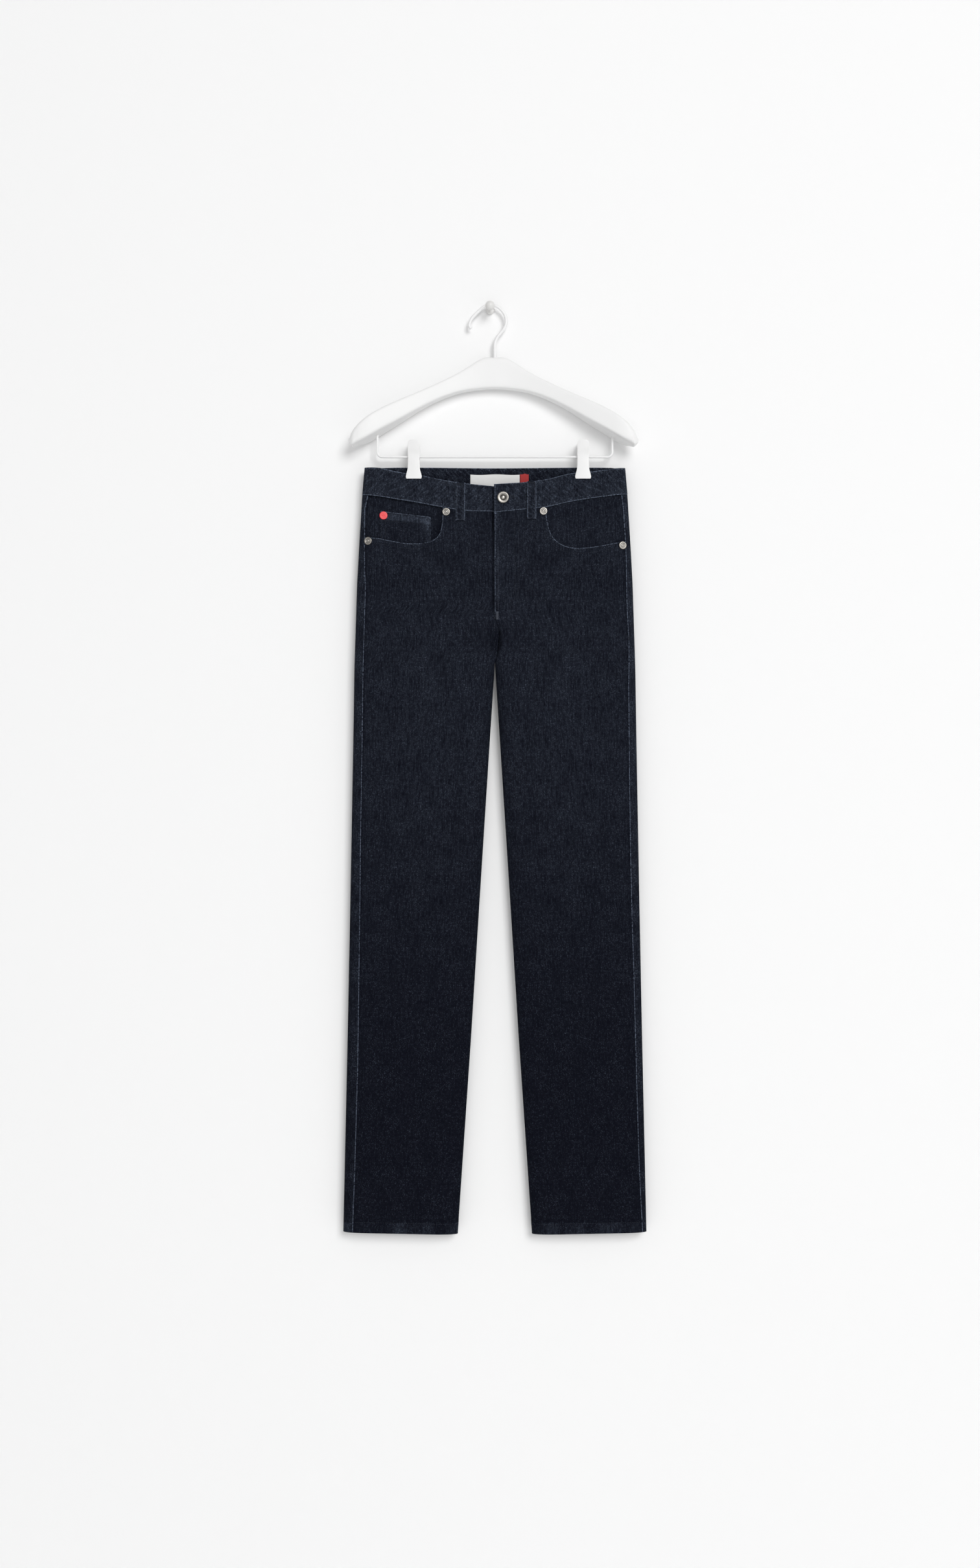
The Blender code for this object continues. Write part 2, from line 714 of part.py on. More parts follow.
def pocket_facing(side, sign, parent):
    """The denim that shows in a front pocket's mouth, under the front and down from the waistband."""
    inset = FACING_INSET[side]
    rows = []
    for index, places in enumerate(front_rows(side, sign)[:5]):
        row = []
        kept = [(x, z) for x, z in places if abs(x) > FACING_INNER]
        x, z = kept[-1]
        kept[-1] = (x - sign * SEAM_GAP, z)
        for x, z in kept:
            z = max(z, FACING_BOTTOM)
            row.append(point(x, skin(x, z, FRONT, inset), z))
        rows.append(row)
    count = min(len(row) for row in rows)
    rows = [row[-count:] for row in rows]
    return cloth(f"pocket_facing_{side}", rows, (0, FRONT, 0), DENIM - 0.1, parent)


def coin_pocket(parent):
    """The small pocket on the right facing, partly under the front."""
    size = COIN_POCKET
    rows = []
    for share in (0.0, 0.22, 0.5, 0.75, 1.0):
        row = []
        for across in (0.0, 0.25, 0.5, 0.75, 1.0):
            x = mix(size["inner"], size["outer"], across)
            z = mix(mix(size["top_inner"], size["top_outer"], across), size["bottom"], share)
            row.append(point(x, skin(x, z, FRONT, COIN_INSET), z))
        rows.append(row)
    return cloth("coin_pocket", rows, (0, FRONT, 0), 1.0, parent)


def back_pocket(side, sign, parent):
    """A five-sided patch pocket on a back."""
    size = BACK_POCKET
    stand = -(ON_CLOTH + DENIM)
    rows = []
    for share in (0.0, 0.18, 0.38, 0.58, 0.78, 1.0):
        row = []
        for across in (0.0, 0.18, 0.34, 0.5, 0.66, 0.82, 1.0):
            narrow = size["taper"] * share
            x = mix(size["inner"] + narrow, size["outer"] - narrow, across)
            top = mix(size["top_inner"], size["top_outer"], across)
            middle = 1.0 - abs(2.0 * across - 1.0)
            z = top - share * mix(size["side"], size["point"], middle)
            row.append(point(sign * x, skin(sign * x, z, BACK, stand), z))
        rows.append(row)
    return cloth(f"back_pocket_{side}", rows, (0, BACK, 0), DENIM, parent)


def belt_loop(name, x, face, parent):
    """A belt loop: held at the waistband's top and just below its bottom, and a little bowed between."""
    side = "right" if x < 0 else "left"
    if face == FRONT:
        top, bottom = band_edge(x, side, "top"), band_edge(x, side, "bottom")
    else:
        top, bottom = BACK_BAND_TOP, BACK_BAND_BOTTOM
    stand = LOOP_THICKNESS + ON_CLOTH
    path = (
        (top, stand + BAND_PROUD),
        (top - 4.0, stand + BAND_PROUD + 0.2),
        (top - 11.0, stand + BAND_PROUD + 1.2),
        (mix(top, bottom, 0.55), stand + BAND_PROUD + 1.6),
        (bottom + 7.0, stand + BAND_PROUD + 1.1),
        (bottom + 0.5, stand + BAND_PROUD + 0.3),
        (bottom - 5.0, stand + 0.1),
        (bottom - LOOP_TAIL, stand + 0.1),
    )
    rows = []
    for z, height in path:
        across = [x + share * LOOP_WIDTH / 2.0 for share in (-1.0, -0.5, 0.5, 1.0)]
        rows.append([point(place, skin(place, z, face, -height), z) for place in across])
    return cloth(name, rows, (0, face, 0), LOOP_THICKNESS, parent, "denim_band")


# Metal, labels


def seat_on(thing, x, z, face, height):
    """Places a turned piece on the cloth: its axis along the surface's outward direction, its foot at a height."""
    reach = 2.0
    across = Vector((2 * reach, skin(x + reach, z, face) - skin(x - reach, z, face), 0.0))
    down = Vector((0.0, skin(x, z - reach, face) - skin(x, z + reach, face), -2 * reach))
    outward = across.cross(down).normalized()
    if outward.y * face < 0.0:
        outward.negate()
    foot = Vector((x, skin(x, z, face), z)) + outward * height
    thing.rotation_mode = "QUATERNION"
    thing.rotation_quaternion = outward.to_track_quat("Z", "Y")
    thing.location = foot * MM


def button(parent):
    radius = BUTTON["radius"]
    profile = [(0.0, 2.1), (1.3, 2.3), (2.3, 1.9), (4.6, 1.6), (5.6, 2.2), (radius - 1.3, 2.9), (radius - 0.4, 2.5),
               (radius, 1.7), (radius - 0.5, 1.0), (radius - 2.0, 0.6), (2.6, 0.5), (2.4, 0.0), (0.0, 0.0)]
    thing = turned("button", profile, 24, "metal", parent)
    lap = (BAND_THICKNESS + SEAM_GAP) / 2.0
    seat_on(thing, BUTTON["x"], BUTTON["z"], FRONT, BAND_PROUD + lap + ON_CLOTH)


def rivet(name, x, z, finish, height, parent):
    radius = RIVET_RADIUS
    profile = [(0.0, 1.5), (1.4, 1.3), (2.2, 0.8), (3.8, 1.3), (radius - 0.6, 1.2), (radius, 0.0), (0.0, 0.0)]
    thing = turned(name, profile, 14, finish, parent)
    seat_on(thing, x, z, FRONT, height)


def label(name, size, finish, parent):
    """A small woven label on the inside of the back waistband."""
    inset = BAND_THICKNESS - BAND_PROUD + ON_CLOTH
    rows = []
    for share in (0.0, 0.5, 1.0):
        z = mix(size["top"], size["bottom"], share)
        across = [mix(size["x0"], size["x1"], step / 4) for step in range(5)]
        rows.append([point(x, skin(x, z, BACK, inset), z) for x in across])
    return cloth(name, rows, (0, BACK, 0), LABEL_THICKNESS, parent, finish)


# Hanger


def hanger_section(arm, sign):
    """A rounded section of the hanger's body at one place along its arm, its underside lower at the back."""
    middle_y, half_y = (arm.front + arm.back) / 2.0, (arm.back - arm.front) / 2.0
    middle_z, half_z = (arm.top + arm.bottom) / 2.0, (arm.top - arm.bottom) / 2.0
    x = sign * arm.x - HANGER_SHIFT * arm.x / ARMS[-1].x
    row = []
    for step in range(HANGER_POINTS):
        angle = 2.0 * math.pi * (step + 0.5) / HANGER_POINTS
        across, up = math.cos(angle), math.sin(angle)
        power = 2.0 / HANGER_ROUNDNESS
        y = middle_y + half_y * math.copysign(abs(across) ** power, across)
        z = middle_z + half_z * math.copysign(abs(up) ** power, up)
        if up < 0.0:
            z -= arm.slant * (y - arm.front) / (arm.back - arm.front) * abs(up) ** power
        row.append(point(x, y, z))
    return row


def hanger_body(parent):
    """The hanger's body: drawn through its sections from end to end and closed, reaching a little further on one side."""
    rows = [hanger_section(arm, -1) for arm in ARMS[:0:-1]] + [hanger_section(arm, 1) for arm in ARMS]
    mesh = surface("hanger_body", rows, (0, FRONT, 0), ring=True)
    bed = bmesh.new()
    bed.from_mesh(mesh)
    bed.verts.ensure_lookup_table()
    for ring, sign in ((bed.verts[:HANGER_POINTS], -1), (bed.verts[-HANGER_POINTS:], 1)):
        cap = bed.faces.new(ring)
        cap.normal_update()
        if cap.normal.x * sign < 0.0:
            cap.normal_flip()
        middle = bmesh.ops.poke(bed, faces=[cap])["verts"][0]
        middle.co.x += sign * 1.2 * MM
        bed.verts.ensure_lookup_table()
    bed.to_mesh(mesh)
    bed.free()
    body = add_object("hanger_body", mesh, "hanger_white", parent)
    for name, sign in SIDES:
        low = read(ARMS, BAR_HALF, "bottom") - 12.0
        hole = hole_cutter(f"wire_hole_{name}", sign * BAR_HALF, CLOTH_Y, low, low + 12.0 + HOLE_DEPTH,
                           BAR_RADIUS + HOLE_CLEARANCE, parent)
        cut(body, hole)
    top = ARMS[0].top
    cut(body, hole_cutter("hook_hole", 0.0, HOOK_Y, top - HOLE_DEPTH, top + 8.0, HOOK_RADIUS + HOLE_CLEARANCE,
                          parent))


def hook(parent):
    """The hook: out of the hanger's top, round over the peg's neck, to its tip."""
    foot = WAIST_Z + ARMS[0].top - HOLE_DEPTH + 0.5
    route = [Vector((x, HOOK_Y, z)) for x, z in HOOK_ROUTE]
    route[0].z = foot
    route = [route[0], route[1], *smooth_route(route[2:], HOOK_SMOOTHING)]
    wire("hook", route, HOOK_RADIUS, "wire", parent)


def trouser_bar(parent):
    """The bent wire that carries the clips: up at both ends into the hanger's underside."""
    top = read(ARMS, BAR_HALF, "bottom") + HOLE_DEPTH - 1.0
    route = []
    for _, sign in SIDES:
        corner = [(sign * BAR_HALF, top)]
        for step in range(6):
            angle = math.radians(90.0 * step / 5)
            corner.append((sign * (BAR_HALF - BAR_CORNER + BAR_CORNER * math.cos(angle)),
                           BAR_Z + BAR_CORNER - BAR_CORNER * math.sin(angle)))
        route += corner if sign < 0 else reversed(corner)
    wire("trouser_bar", [(x, CLOTH_Y, z) for x, z in route], BAR_RADIUS, "wire", parent)


def clip_jaw(name, x, face, parent):
    """One jaw of a clip: a crowned plate, round at the top and flared where it grips."""
    rows = []
    for row in CLIP_ROWS:
        rows.append([point(x + share * row.half_width, face * (row.depth - CLIP_CROWN * share * share), row.z)
                     for share in CLIP_COLUMNS])
    return cloth(name, rows, (0, face, 0), CLIP_THICKNESS, parent, "clip_white")


def clip_spring(name, x, parent):
    """The spring's barrel between the jaws, with the bar running through it."""
    inner = BAR_RADIUS + HOLE_CLEARANCE
    profile = [(inner, SPRING_HALF), (SPRING_RADIUS, SPRING_HALF), (SPRING_RADIUS, -SPRING_HALF),
               (inner, -SPRING_HALF), (inner, SPRING_HALF)]
    thing = turned(name, profile, 16, "wire", parent)
    thing.rotation_euler = (0.0, math.radians(90.0), 0.0)
    thing.location = point(x, 0.0, BAR_Z)


def peg():
    """The wall peg, turned: a flange on the wall, a neck for the hook, and a ball."""
    meeting = -math.degrees(math.acos(PEG_COLLAR / PEG_BALL_RADIUS))
    ball = arc(0.0, PEG_BALL_CENTRE, PEG_BALL_RADIUS, meeting, 90.0, 8)
    profile = [*PEG_PROFILE, *ball[:-1], (0.0, PEG_BALL_CENTRE + PEG_BALL_RADIUS)]
    thing = turned("wall_peg", list(reversed(profile)), 18, "peg", None)
    thing.rotation_euler = (math.radians(90.0), 0.0, 0.0)
    return thing


def main():
    clear_scene()
    for name in ("straight_leg_jeans", "cutters"):
        bpy.context.scene.collection.children.link(bpy.data.collections.new(name))
    jeans = empty("jeans", MIDDLE_X, CLOTH_Y, WAIST_Z)
    hanger = empty("hanger", MIDDLE_X, 0.0, WAIST_Z)
    for side, sign in SIDES:
        front(side, sign, jeans)
        back(side, sign, jeans)
        yoke(side, sign, jeans)
        hem(side, sign, jeans)
        band_front(side, sign, jeans)
        pocket_facing(side, sign, jeans)
        back_pocket(side, sign, jeans)
    band_back(jeans)
    coin_pocket(jeans)
    for name, x, face in BELT_LOOPS:
        belt_loop(name, x, face, jeans)
    button(jeans)
    for name, x, z in RIVETS:
        rivet(name, x, z, "metal", ON_CLOTH, jeans)
    rivet("rivet_red", RED_RIVET["x"], RED_RIVET["z"], "red_metal", ON_CLOTH - COIN_INSET, jeans)
    label("waist_label", LABEL, "label", jeans)
    label("waist_tab", SIZE_TAB, "red_tab", jeans)
    hanger_body(hanger)
    hook(None)
    trouser_bar(hanger)
    for name, x in CLIP_PLACES:
        clip_jaw(f"{name}_front_jaw", x, FRONT, jeans)
        clip_jaw(f"{name}_back_jaw", x, BACK, jeans)
        clip_spring(f"{name}_spring", x, jeans)
    peg()


main()
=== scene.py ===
"""Straight leg jeans on a clip hanger: cloth, stitching, metal, hanger and peg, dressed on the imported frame.

The jeans hang flat with their front towards -Y. Left and right are the wearer's own, so right lies at -X.
Forms are worked out in millimetres from the middle of the waist, and MM turns them into Blender's metres.
"""

import math
from collections import namedtuple

import bpy
import numpy as np
from bpy.props import FloatProperty, FloatVectorProperty, PointerProperty
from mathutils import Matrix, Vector


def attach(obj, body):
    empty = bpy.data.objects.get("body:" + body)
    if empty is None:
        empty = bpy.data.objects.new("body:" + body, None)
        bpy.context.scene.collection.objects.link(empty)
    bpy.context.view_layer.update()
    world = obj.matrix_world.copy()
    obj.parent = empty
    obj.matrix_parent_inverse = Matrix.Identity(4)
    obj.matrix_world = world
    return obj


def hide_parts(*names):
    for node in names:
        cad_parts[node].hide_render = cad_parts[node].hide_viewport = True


bl_info = {
    "name": "Straight Leg Jeans",
    "version": (1, 0, 0),
    "blender": (4, 5, 0),
    "location": "View3D > Sidebar > Jeans",
    "description": "Makes dark denim jeans on a clip hanger",
    "category": "Add Mesh",
}

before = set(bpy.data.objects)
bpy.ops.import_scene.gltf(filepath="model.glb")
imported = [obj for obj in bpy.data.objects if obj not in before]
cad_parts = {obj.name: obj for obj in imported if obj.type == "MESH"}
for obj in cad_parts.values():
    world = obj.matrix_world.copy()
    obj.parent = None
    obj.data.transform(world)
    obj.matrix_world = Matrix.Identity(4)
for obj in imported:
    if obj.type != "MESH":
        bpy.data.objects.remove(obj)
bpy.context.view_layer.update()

MM = 0.001
FRONT, BACK = -1, 1
SIDES = (("right", -1), ("left", 1))

# Where the middle of the waist hangs in the frame
HELD = Vector((6.8, -17.0, -225.9))

# Cloth: thicknesses, gaps and heights
DENIM = 1.2
GAP = 0.35
BAND_THICKNESS = 2.6
BAND_PROUD = 0.8
CROTCH_Z = -274.0
HEM_Z = -1063.3
HEM_HEIGHT = 17.0
HEM_STITCH_Z = HEM_Z + HEM_HEIGHT - 2.5
HEM_DROP = 3.0
EDGE_REACH = 34.0
INSEAM_STUB = 0.45
BAND_END = 22.0

# Further than any worn edge reaches
FAR = 99.0

# How close points are that are welded, in metres: of a ring's two ends, and of a turned or drawn piece
RING_WELD, FINE_WELD = 0.00002, 0.0000005

# The side seams by height: how far each lies in from the side edge, on the front
SIDE_SEAMS = {
    -1: ((-38.0, 8.7), (-57.0, 5.4), (-142.0, 10.6), (-165.0, 13.0), (-300.0, 13.5),
         (-520.0, 14.0), (-700.0, 15.3), (-840.0, 16.2), (-970.0, 15.3), (-1063.3, 14.0)),
    1: ((-38.0, 9.0), (-57.0, 7.9), (-97.0, 7.7), (-126.0, 8.3), (-165.0, 9.8), (-198.0, 10.1), (-243.0, 9.0),
        (-300.0, 11.0), (-520.0, 12.5), (-628.0, 12.0), (-700.0, 11.0), (-880.0, 10.0), (-970.0, 9.2),
        (-1010.0, 8.1), (-1042.0, 7.0), (-1063.3, 6.6)),
}
PINCH_HEIGHT = 170.0

# Across the legs by height: the edges' places, half the depth, and how far the rounding of an edge reaches
Section = namedtuple("Section", "z outer inner depth edge")
SECTIONS = (
    Section(3.0, 181.4, 0.2, 9.0, 14.0),
    Section(-37.0, 184.9, 0.2, 9.8, 19.0),
    Section(-110.0, 189.4, 0.2, 11.2, 28.0),
    Section(-160.0, 192.1, 0.2, 12.0, 34.0),
    Section(CROTCH_Z, 195.8, 0.4, 12.6, 34.0),
    Section(-290.0, 196.1, 1.2, 12.6, 34.0),
    Section(-376.0, 197.4, 6.8, 12.2, 34.0),
    Section(-610.0, 201.7, 21.8, 11.2, 34.0),
    Section(-790.0, 205.3, 33.0, 10.4, 34.0),
    Section(-1064.0, 211.4, 51.7, 9.0, 34.0),
)

# The front waistband's edges by distance from the centre
BandEdge = namedtuple("BandEdge", "x right_top right_bottom left_top left_bottom")
BAND_EDGES = (
    BandEdge(0.0, -25.2, -60.2, -22.6, -61.8),
    BandEdge(45.0, -20.8, -58.6, -19.2, -56.7),
    BandEdge(75.0, -15.6, -53.6, -14.6, -53.0),
    BandEdge(105.0, -9.0, -47.7, -7.0, -46.0),
    BandEdge(135.0, -5.0, -42.8, -4.4, -41.0),
    BandEdge(160.0, -1.0, -39.0, -2.2, -38.0),
    BandEdge(183.0, 0.0, -36.6, -0.5, -35.7),
)
BACK_BAND_TOP = 2.3
BACK_BAND_BOTTOM = -37.0
Centre = namedtuple("Centre", "z x")
CENTRE_LINE = (
    Centre(0.0, -1.5),
    Centre(-205.0, -1.5),
    Centre(-220.0, 4.5),
    Centre(-230.0, 6.5),
    Centre(-260.0, 3.0),
    Centre(CROTCH_Z, 0.0),
)

# The fly: its heights, its lap, the ridge and the groove at its edge, and the crease below it
FLY_END = -190.0
FLY_CLOSE = -205.0
FLY_FLAT = -225.0
FLY_UNDERLAP = 12.0
FLY_RIDGE, RIDGE_WIDTH = 1.2, 5.0
GROOVE_DEPTH, BAND_GROOVE_DEPTH, GROOVE_WIDTH = 3.6, 1.6, 1.4
CREASE_DEPTH, CREASE_TOP, CREASE_END = 9.0, -220.0, -272.0

# Soft folds, each from one place to another, with half its width and its depth
Fold = namedtuple("Fold", "face x0 z0 x1 z1 width depth")
FOLDS = (
    Fold(FRONT, -10, -262, -66, -232, 9, 2.2),
    Fold(FRONT, 12, -260, 70, -228, 9, 2.2),
    Fold(FRONT, -34, -214, -104, -184, 11, 1.2),
    Fold(FRONT, 40, -208, 108, -180, 11, 1.2),
    Fold(FRONT, 42, -690, 84, -1010, 16, 2.6),
    Fold(FRONT, -112, -770, -92, -1010, 18, 1.8),
    Fold(FRONT, 122, -540, 130, -740, 22, 1.2),
    Fold(FRONT, -132, -400, -122, -600, 22, 1.1),
    Fold(BACK, -28, -306, -128, -292, 10, 2.6),
    Fold(BACK, 30, -302, 124, -296, 10, 2.4),
    Fold(BACK, -34, -340, -112, -326, 12, 1.6),
    Fold(BACK, 36, -346, 104, -330, 12, 1.7),
    Fold(BACK, -158, -636, -74, -652, 14, 1.9),
    Fold(BACK, 70, -628, 152, -646, 14, 1.7),
    Fold(BACK, -150, -700, -88, -716, 15, 1.3),
    Fold(BACK, 84, -704, 150, -690, 15, 1.4),
    Fold(BACK, -128, -800, -118, -1010, 20, 1.4),
    Fold(BACK, 132, -790, 120, -1000, 20, 1.5),
)

# Pockets
POCKET_MOUTHS = {
    "right": ((-72.3, -50.0), (-72.6, -66.0), (-73.7, -79.4), (-76.0, -89.0), (-80.5, -96.5), (-90.9, -102.4),
              (-107.5, -104.9), (-124.0, -104.6), (-146.0, -101.0), (-166.7, -97.4), (-200.0, -95.5)),
    "left": ((71.3, -50.0), (71.7, -65.3), (73.4, -77.5), (77.0, -89.5), (82.5, -98.6), (92.0, -106.0),
             (105.0, -110.6), (121.6, -111.4), (145.7, -108.4), (169.7, -104.0), (200.0, -100.0)),
}
FACING_INNER = 58.0
FACING_TOP, FACING_BOTTOM = -45.0, -138.0
FACING_INSET = {"right": 3.9, "left": 1.75}
COIN_INSET = 1.8
COIN_POCKET = {"inner": -89.5, "outer": -159.4, "top_inner": -67.5, "top_outer": -59.4, "bottom": -124.0}
YOKE_CENTRE = -104.0
YOKE_SIDE = -72.0
BACK_POCKET = {"inner": 31.0, "outer": 153.0, "top_inner": -132.0, "top_outer": -120.0,
               "side": 122.0, "point": 140.0, "taper": 7.0}
ON_CLOTH = 0.4

# Belt loops, stitches and trims
BELT_LOOPS = (
    ("belt_loop_front_right", -48.0, FRONT),
    ("belt_loop_front_left", 51.0, FRONT),
    ("belt_loop_back_right", -84.0, BACK),
    ("belt_loop_back_middle", 0.0, BACK),
    ("belt_loop_back_left", 84.0, BACK),
)
LOOP_WIDTH = 12.8
LOOP_THICKNESS = 1.8
LOOP_TAIL = 15.0
FLY_STITCHES = ((32.9, -66.0), (32.9, -120.0), (32.7, -163.0), (31.0, -176.4), (26.6, -182.7), (17.6, -189.0),
                (8.6, -193.5), (1.0, -196.5))

BUTTON = {"x": 11.3, "z": -41.4}
RIVETS = (
    ("rivet_inner_right", -67.8, -60.6),
    ("rivet_inner_left", 67.6, -59.7),
    ("rivet_outer_right", -176.2, -101.4),
    ("rivet_outer_left", 177.6, -107.6),
)
RED_RIVET = ("rivet_red", -154.8, -65.6)
LABEL = {"x0": -34.2, "x1": 34.6, "top": -6.8, "bottom": -31.0}
SIZE_TAB = {"x0": 35.4, "x1": 47.2, "top": -6.2, "bottom": -23.0}

# The hanger's arms by distance from its middle
Arm = namedtuple("Arm", "x top bottom front back slant")
ARMS = (
    Arm(0.0, 155.6, 113.6, -19.0, -1.5, 0.0),
    Arm(16.0, 155.2, 112.9, -19.0, -1.5, 0.0),
    Arm(24.0, 151.0, 112.0, -19.2, -1.5, 0.0),
    Arm(35.0, 143.6, 110.5, -19.8, -1.5, 0.0),
    Arm(50.0, 134.2, 107.3, -21.0, -1.5, 0.0),
    Arm(75.0, 120.9, 98.1, -24.0, -1.5, 0.0),
    Arm(103.0, 107.5, 83.6, -28.0, -1.5, 0.0),
    Arm(130.0, 95.3, 67.5, -32.5, -1.5, 1.6),
    Arm(158.0, 81.5, 51.6, -37.0, -1.5, 3.6),
    Arm(178.0, 68.3, 39.5, -40.0, -4.0, 3.6),
    Arm(190.0, 57.5, 33.0, -40.0, -11.0, 1.8),
    Arm(196.0, 49.0, 30.2, -38.5, -19.0, 0.8),
    Arm(199.5, 40.5, 33.0, -34.0, -28.0, 0.0),
)
HANGER_SHIFT = 2.0
BAR_Z = 16.7
BAR_HALF = 163.7
BAR_CORNER = 7.0
BAR_RADIUS = 1.6
HOOK_RADIUS = 2.2
HOOK_ROUTE = (
    (6.8, -78.8), (6.8, -62.0), (6.8, -50.0), (9.3, -42.0), (13.8, -35.6), (18.6, -29.8), (21.8, -23.5),
    (22.7, -17.0), (21.4, -10.6), (18.4, -4.9), (13.6, 0.2), (7.4, 3.8), (0.0, 5.0), (-7.4, 3.0),
    (-14.4, -2.6), (-20.8, -8.6), (-25.8, -14.6), (-28.4, -20.6), (-28.6, -25.4), (-26.4, -28.2),
)
CLIP_PLACES = (("clip_right", -112.9), ("clip_left", 122.8))
ClipRow = namedtuple("ClipRow", "z half_width depth")
CLIP_ROWS = (
    ClipRow(39.3, 4.6, 10.0),
    ClipRow(38.2, 6.6, 9.9),
    ClipRow(35.5, 8.0, 9.6),
    ClipRow(30.0, 8.3, 8.9),
    ClipRow(20.0, 8.2, 6.6),
    ClipRow(8.0, 8.1, 6.3),
    ClipRow(-2.0, 8.8, 6.3),
    ClipRow(-8.0, 10.4, 6.4),
    ClipRow(-13.1, 10.8, 6.5),
    ClipRow(-14.3, 10.2, 6.4),
)
CLIP_CROWN = 0.4
CLIP_THICKNESS = 1.6

# The camera: the photograph's height in pixels, a pixel's size at the cloth, and heights in metres
PHOTO_HEIGHT = 2420
PIXEL = 0.9
EYE_Z = -0.6653
CLOTH_FRONT = 0.028
SENSOR = 36.0


# Sizes and colours that a user would change


def tint(name, description, *default):
    return FloatVectorProperty(name=name, description=description, subtype="COLOR", default=default, min=0.0,
                               max=1.0)


def amount(name, description, default, low, high, **kind):
    return FloatProperty(name=name, description=description, default=default, min=low, max=high, **kind)


class DenimSettings(bpy.types.PropertyGroup):
    dark: tint("Dark yarn", "Colour of the unworn dyed yarn", 0.0024, 0.0030, 0.0068)
    light: tint("Light yarn", "Colour of worn yarn and of the weft", 0.135, 0.165, 0.225)
    wear: amount("Wear", "How light the worn edges are", 1.0, 0.0, 2.0, subtype="FACTOR")
    twill: amount("Twill pitch", "Distance between two twill lines", 0.00095, 0.0003, 0.003, unit="LENGTH")


class StitchSettings(bpy.types.PropertyGroup):
    colour: tint("Thread", "Colour of the sewing thread", 0.014, 0.018, 0.028)
    pale: tint("Bar tack thread", "Colour of the bar tacks and the worn edge rows", 0.085, 0.095, 0.125)
    spacing: amount("Stitch", "Distance from one stitch to the next", 0.0032, 0.001, 0.008, unit="LENGTH")
    thickness: amount("Thread thickness", "Width of a stitch", 0.00055, 0.0002, 0.002, unit="LENGTH")


class TrimSettings(bpy.types.PropertyGroup):
    metal: tint("Metal", "Colour of the button and the rivets", 0.50, 0.475, 0.44)
    red: tint("Red rivet", "Colour of the lacquered rivet", 0.88, 0.055, 0.065)
    tape: tint("Label", "Colour of the woven label", 0.80, 0.80, 0.79)
    tab: tint("Tab", "Colour of the small tab", 0.42, 0.035, 0.035)


class HangerSettings(bpy.types.PropertyGroup):
    body: tint("Body", "Colour of the hanger's body", 0.86, 0.86, 0.858)
    clip: tint("Clips", "Colour of the clips", 0.84, 0.84, 0.838)
    wire: tint("Wire", "Colour of the coated wire", 0.887, 0.887, 0.887)
    peg: tint("Peg", "Colour of the wall peg", 0.76, 0.755, 0.74)


class StageSettings(bpy.types.PropertyGroup):
    backdrop: tint("Backdrop", "Colour of the wall and floor", 0.887, 0.887, 0.887)
    key: amount("Key light", "Power of the soft light from the upper right", 443.0, 0.0, 2000.0)
    fill: amount("Fill light", "Strength of the light from all round", 0.38, 0.0, 5.0)
    distance: amount("Camera distance", "From the camera to the cloth", 2.5, 0.5, 10.0, unit="LENGTH")


# The form of the cloth, in millimetres


def ease(t):
    t = np.clip(t, 0.0, 1.0)
    return t * t * (3.0 - 2.0 * t)


def mix(a, b, t):
    return a + (b - a) * t


def columns(table, column):
    """The places and the values of a column, in the order of the places."""
    rows = sorted(table)
    return np.array([row[0] for row in rows], float), np.array([getattr(row, column) for row in rows], float)


def read(table, place, column):
    """A column of a table at places, by straight lines between its rows."""
    return np.interp(place, *columns(table, column))


def smooth_read(table, place, column):
    """A column of a table at places, by a smooth curve through its rows."""
    at, value = columns(table, column)
    slope = np.gradient(value, at)
    place = np.clip(place, at[0], at[-1])
    low = np.clip(np.searchsorted(at, place, side="right") - 1, 0, len(at) - 2)
    span = at[low + 1] - at[low]
    t = (place - at[low]) / span
    return ((2 * t**3 - 3 * t**2 + 1) * value[low] + (t**3 - 2 * t**2 + t) * span * slope[low]
            + (3 * t**2 - 2 * t**3) * value[low + 1] + (t**3 - t**2) * span * slope[low + 1])


def waist_depth(x):
    """Half the depth at the waist: open in the middle, pinched at the clips, a little open at the sides."""
    middle, pinched, side = 8.4, 3.2, 7.0
    jaw_reach, opening = 22.0, 30.0
    away = np.abs(x)
    clip = np.where(x < 0, abs(CLIP_PLACES[0][1]), CLIP_PLACES[1][1])
    between = mix(pinched, middle, 0.5 + 0.5 * np.cos(math.pi * np.minimum(away / clip, 1.0)))
    beyond = mix(pinched, side, ease((away - clip - jaw_reach) / opening))
    return np.where(away < clip, between, beyond)


def fold_depth(x, z, face):
    """How far the folds sink a face."""
    depth = np.zeros(np.broadcast(x, z).shape)
    for fold in FOLDS:
        if fold.face != face:
            continue
        run_x, run_z = fold.x1 - fold.x0, fold.z1 - fold.z0
        share = np.clip(((x - fold.x0) * run_x + (z - fold.z0) * run_z) / (run_x**2 + run_z**2), 0.0, 1.0)
        away = np.hypot(x - fold.x0 - run_x * share, z - fold.z0 - run_z * share) / fold.width
        depth += fold.depth * np.exp(-away * away) * np.sin(math.pi * mix(0.12, 0.88, share))
    return depth + crotch_crease(x, z) * (face == FRONT)


def crotch_crease(x, z):
    """Above the crotch the right front sinks towards the centre seam, and the left one turns down to it."""
    away = x - read(CENTRE_LINE, z, "x")
    slope = np.where(away < 0.0, 1.0 - ease((-away - 3.5) / 11.0), np.exp(-((away / 2.6) ** 2)))
    return CREASE_DEPTH * slope * ease((CREASE_TOP - z) / 14.0) * ease((z - CREASE_END) / 24.0)


def rounded(distance, reach):
    """The profile of a folded edge: 0 at the edge, 1 past its reach."""
    share = 1.0 - np.clip(distance / reach, 0.0, 1.0)
    return np.sqrt(1.0 - share * share)


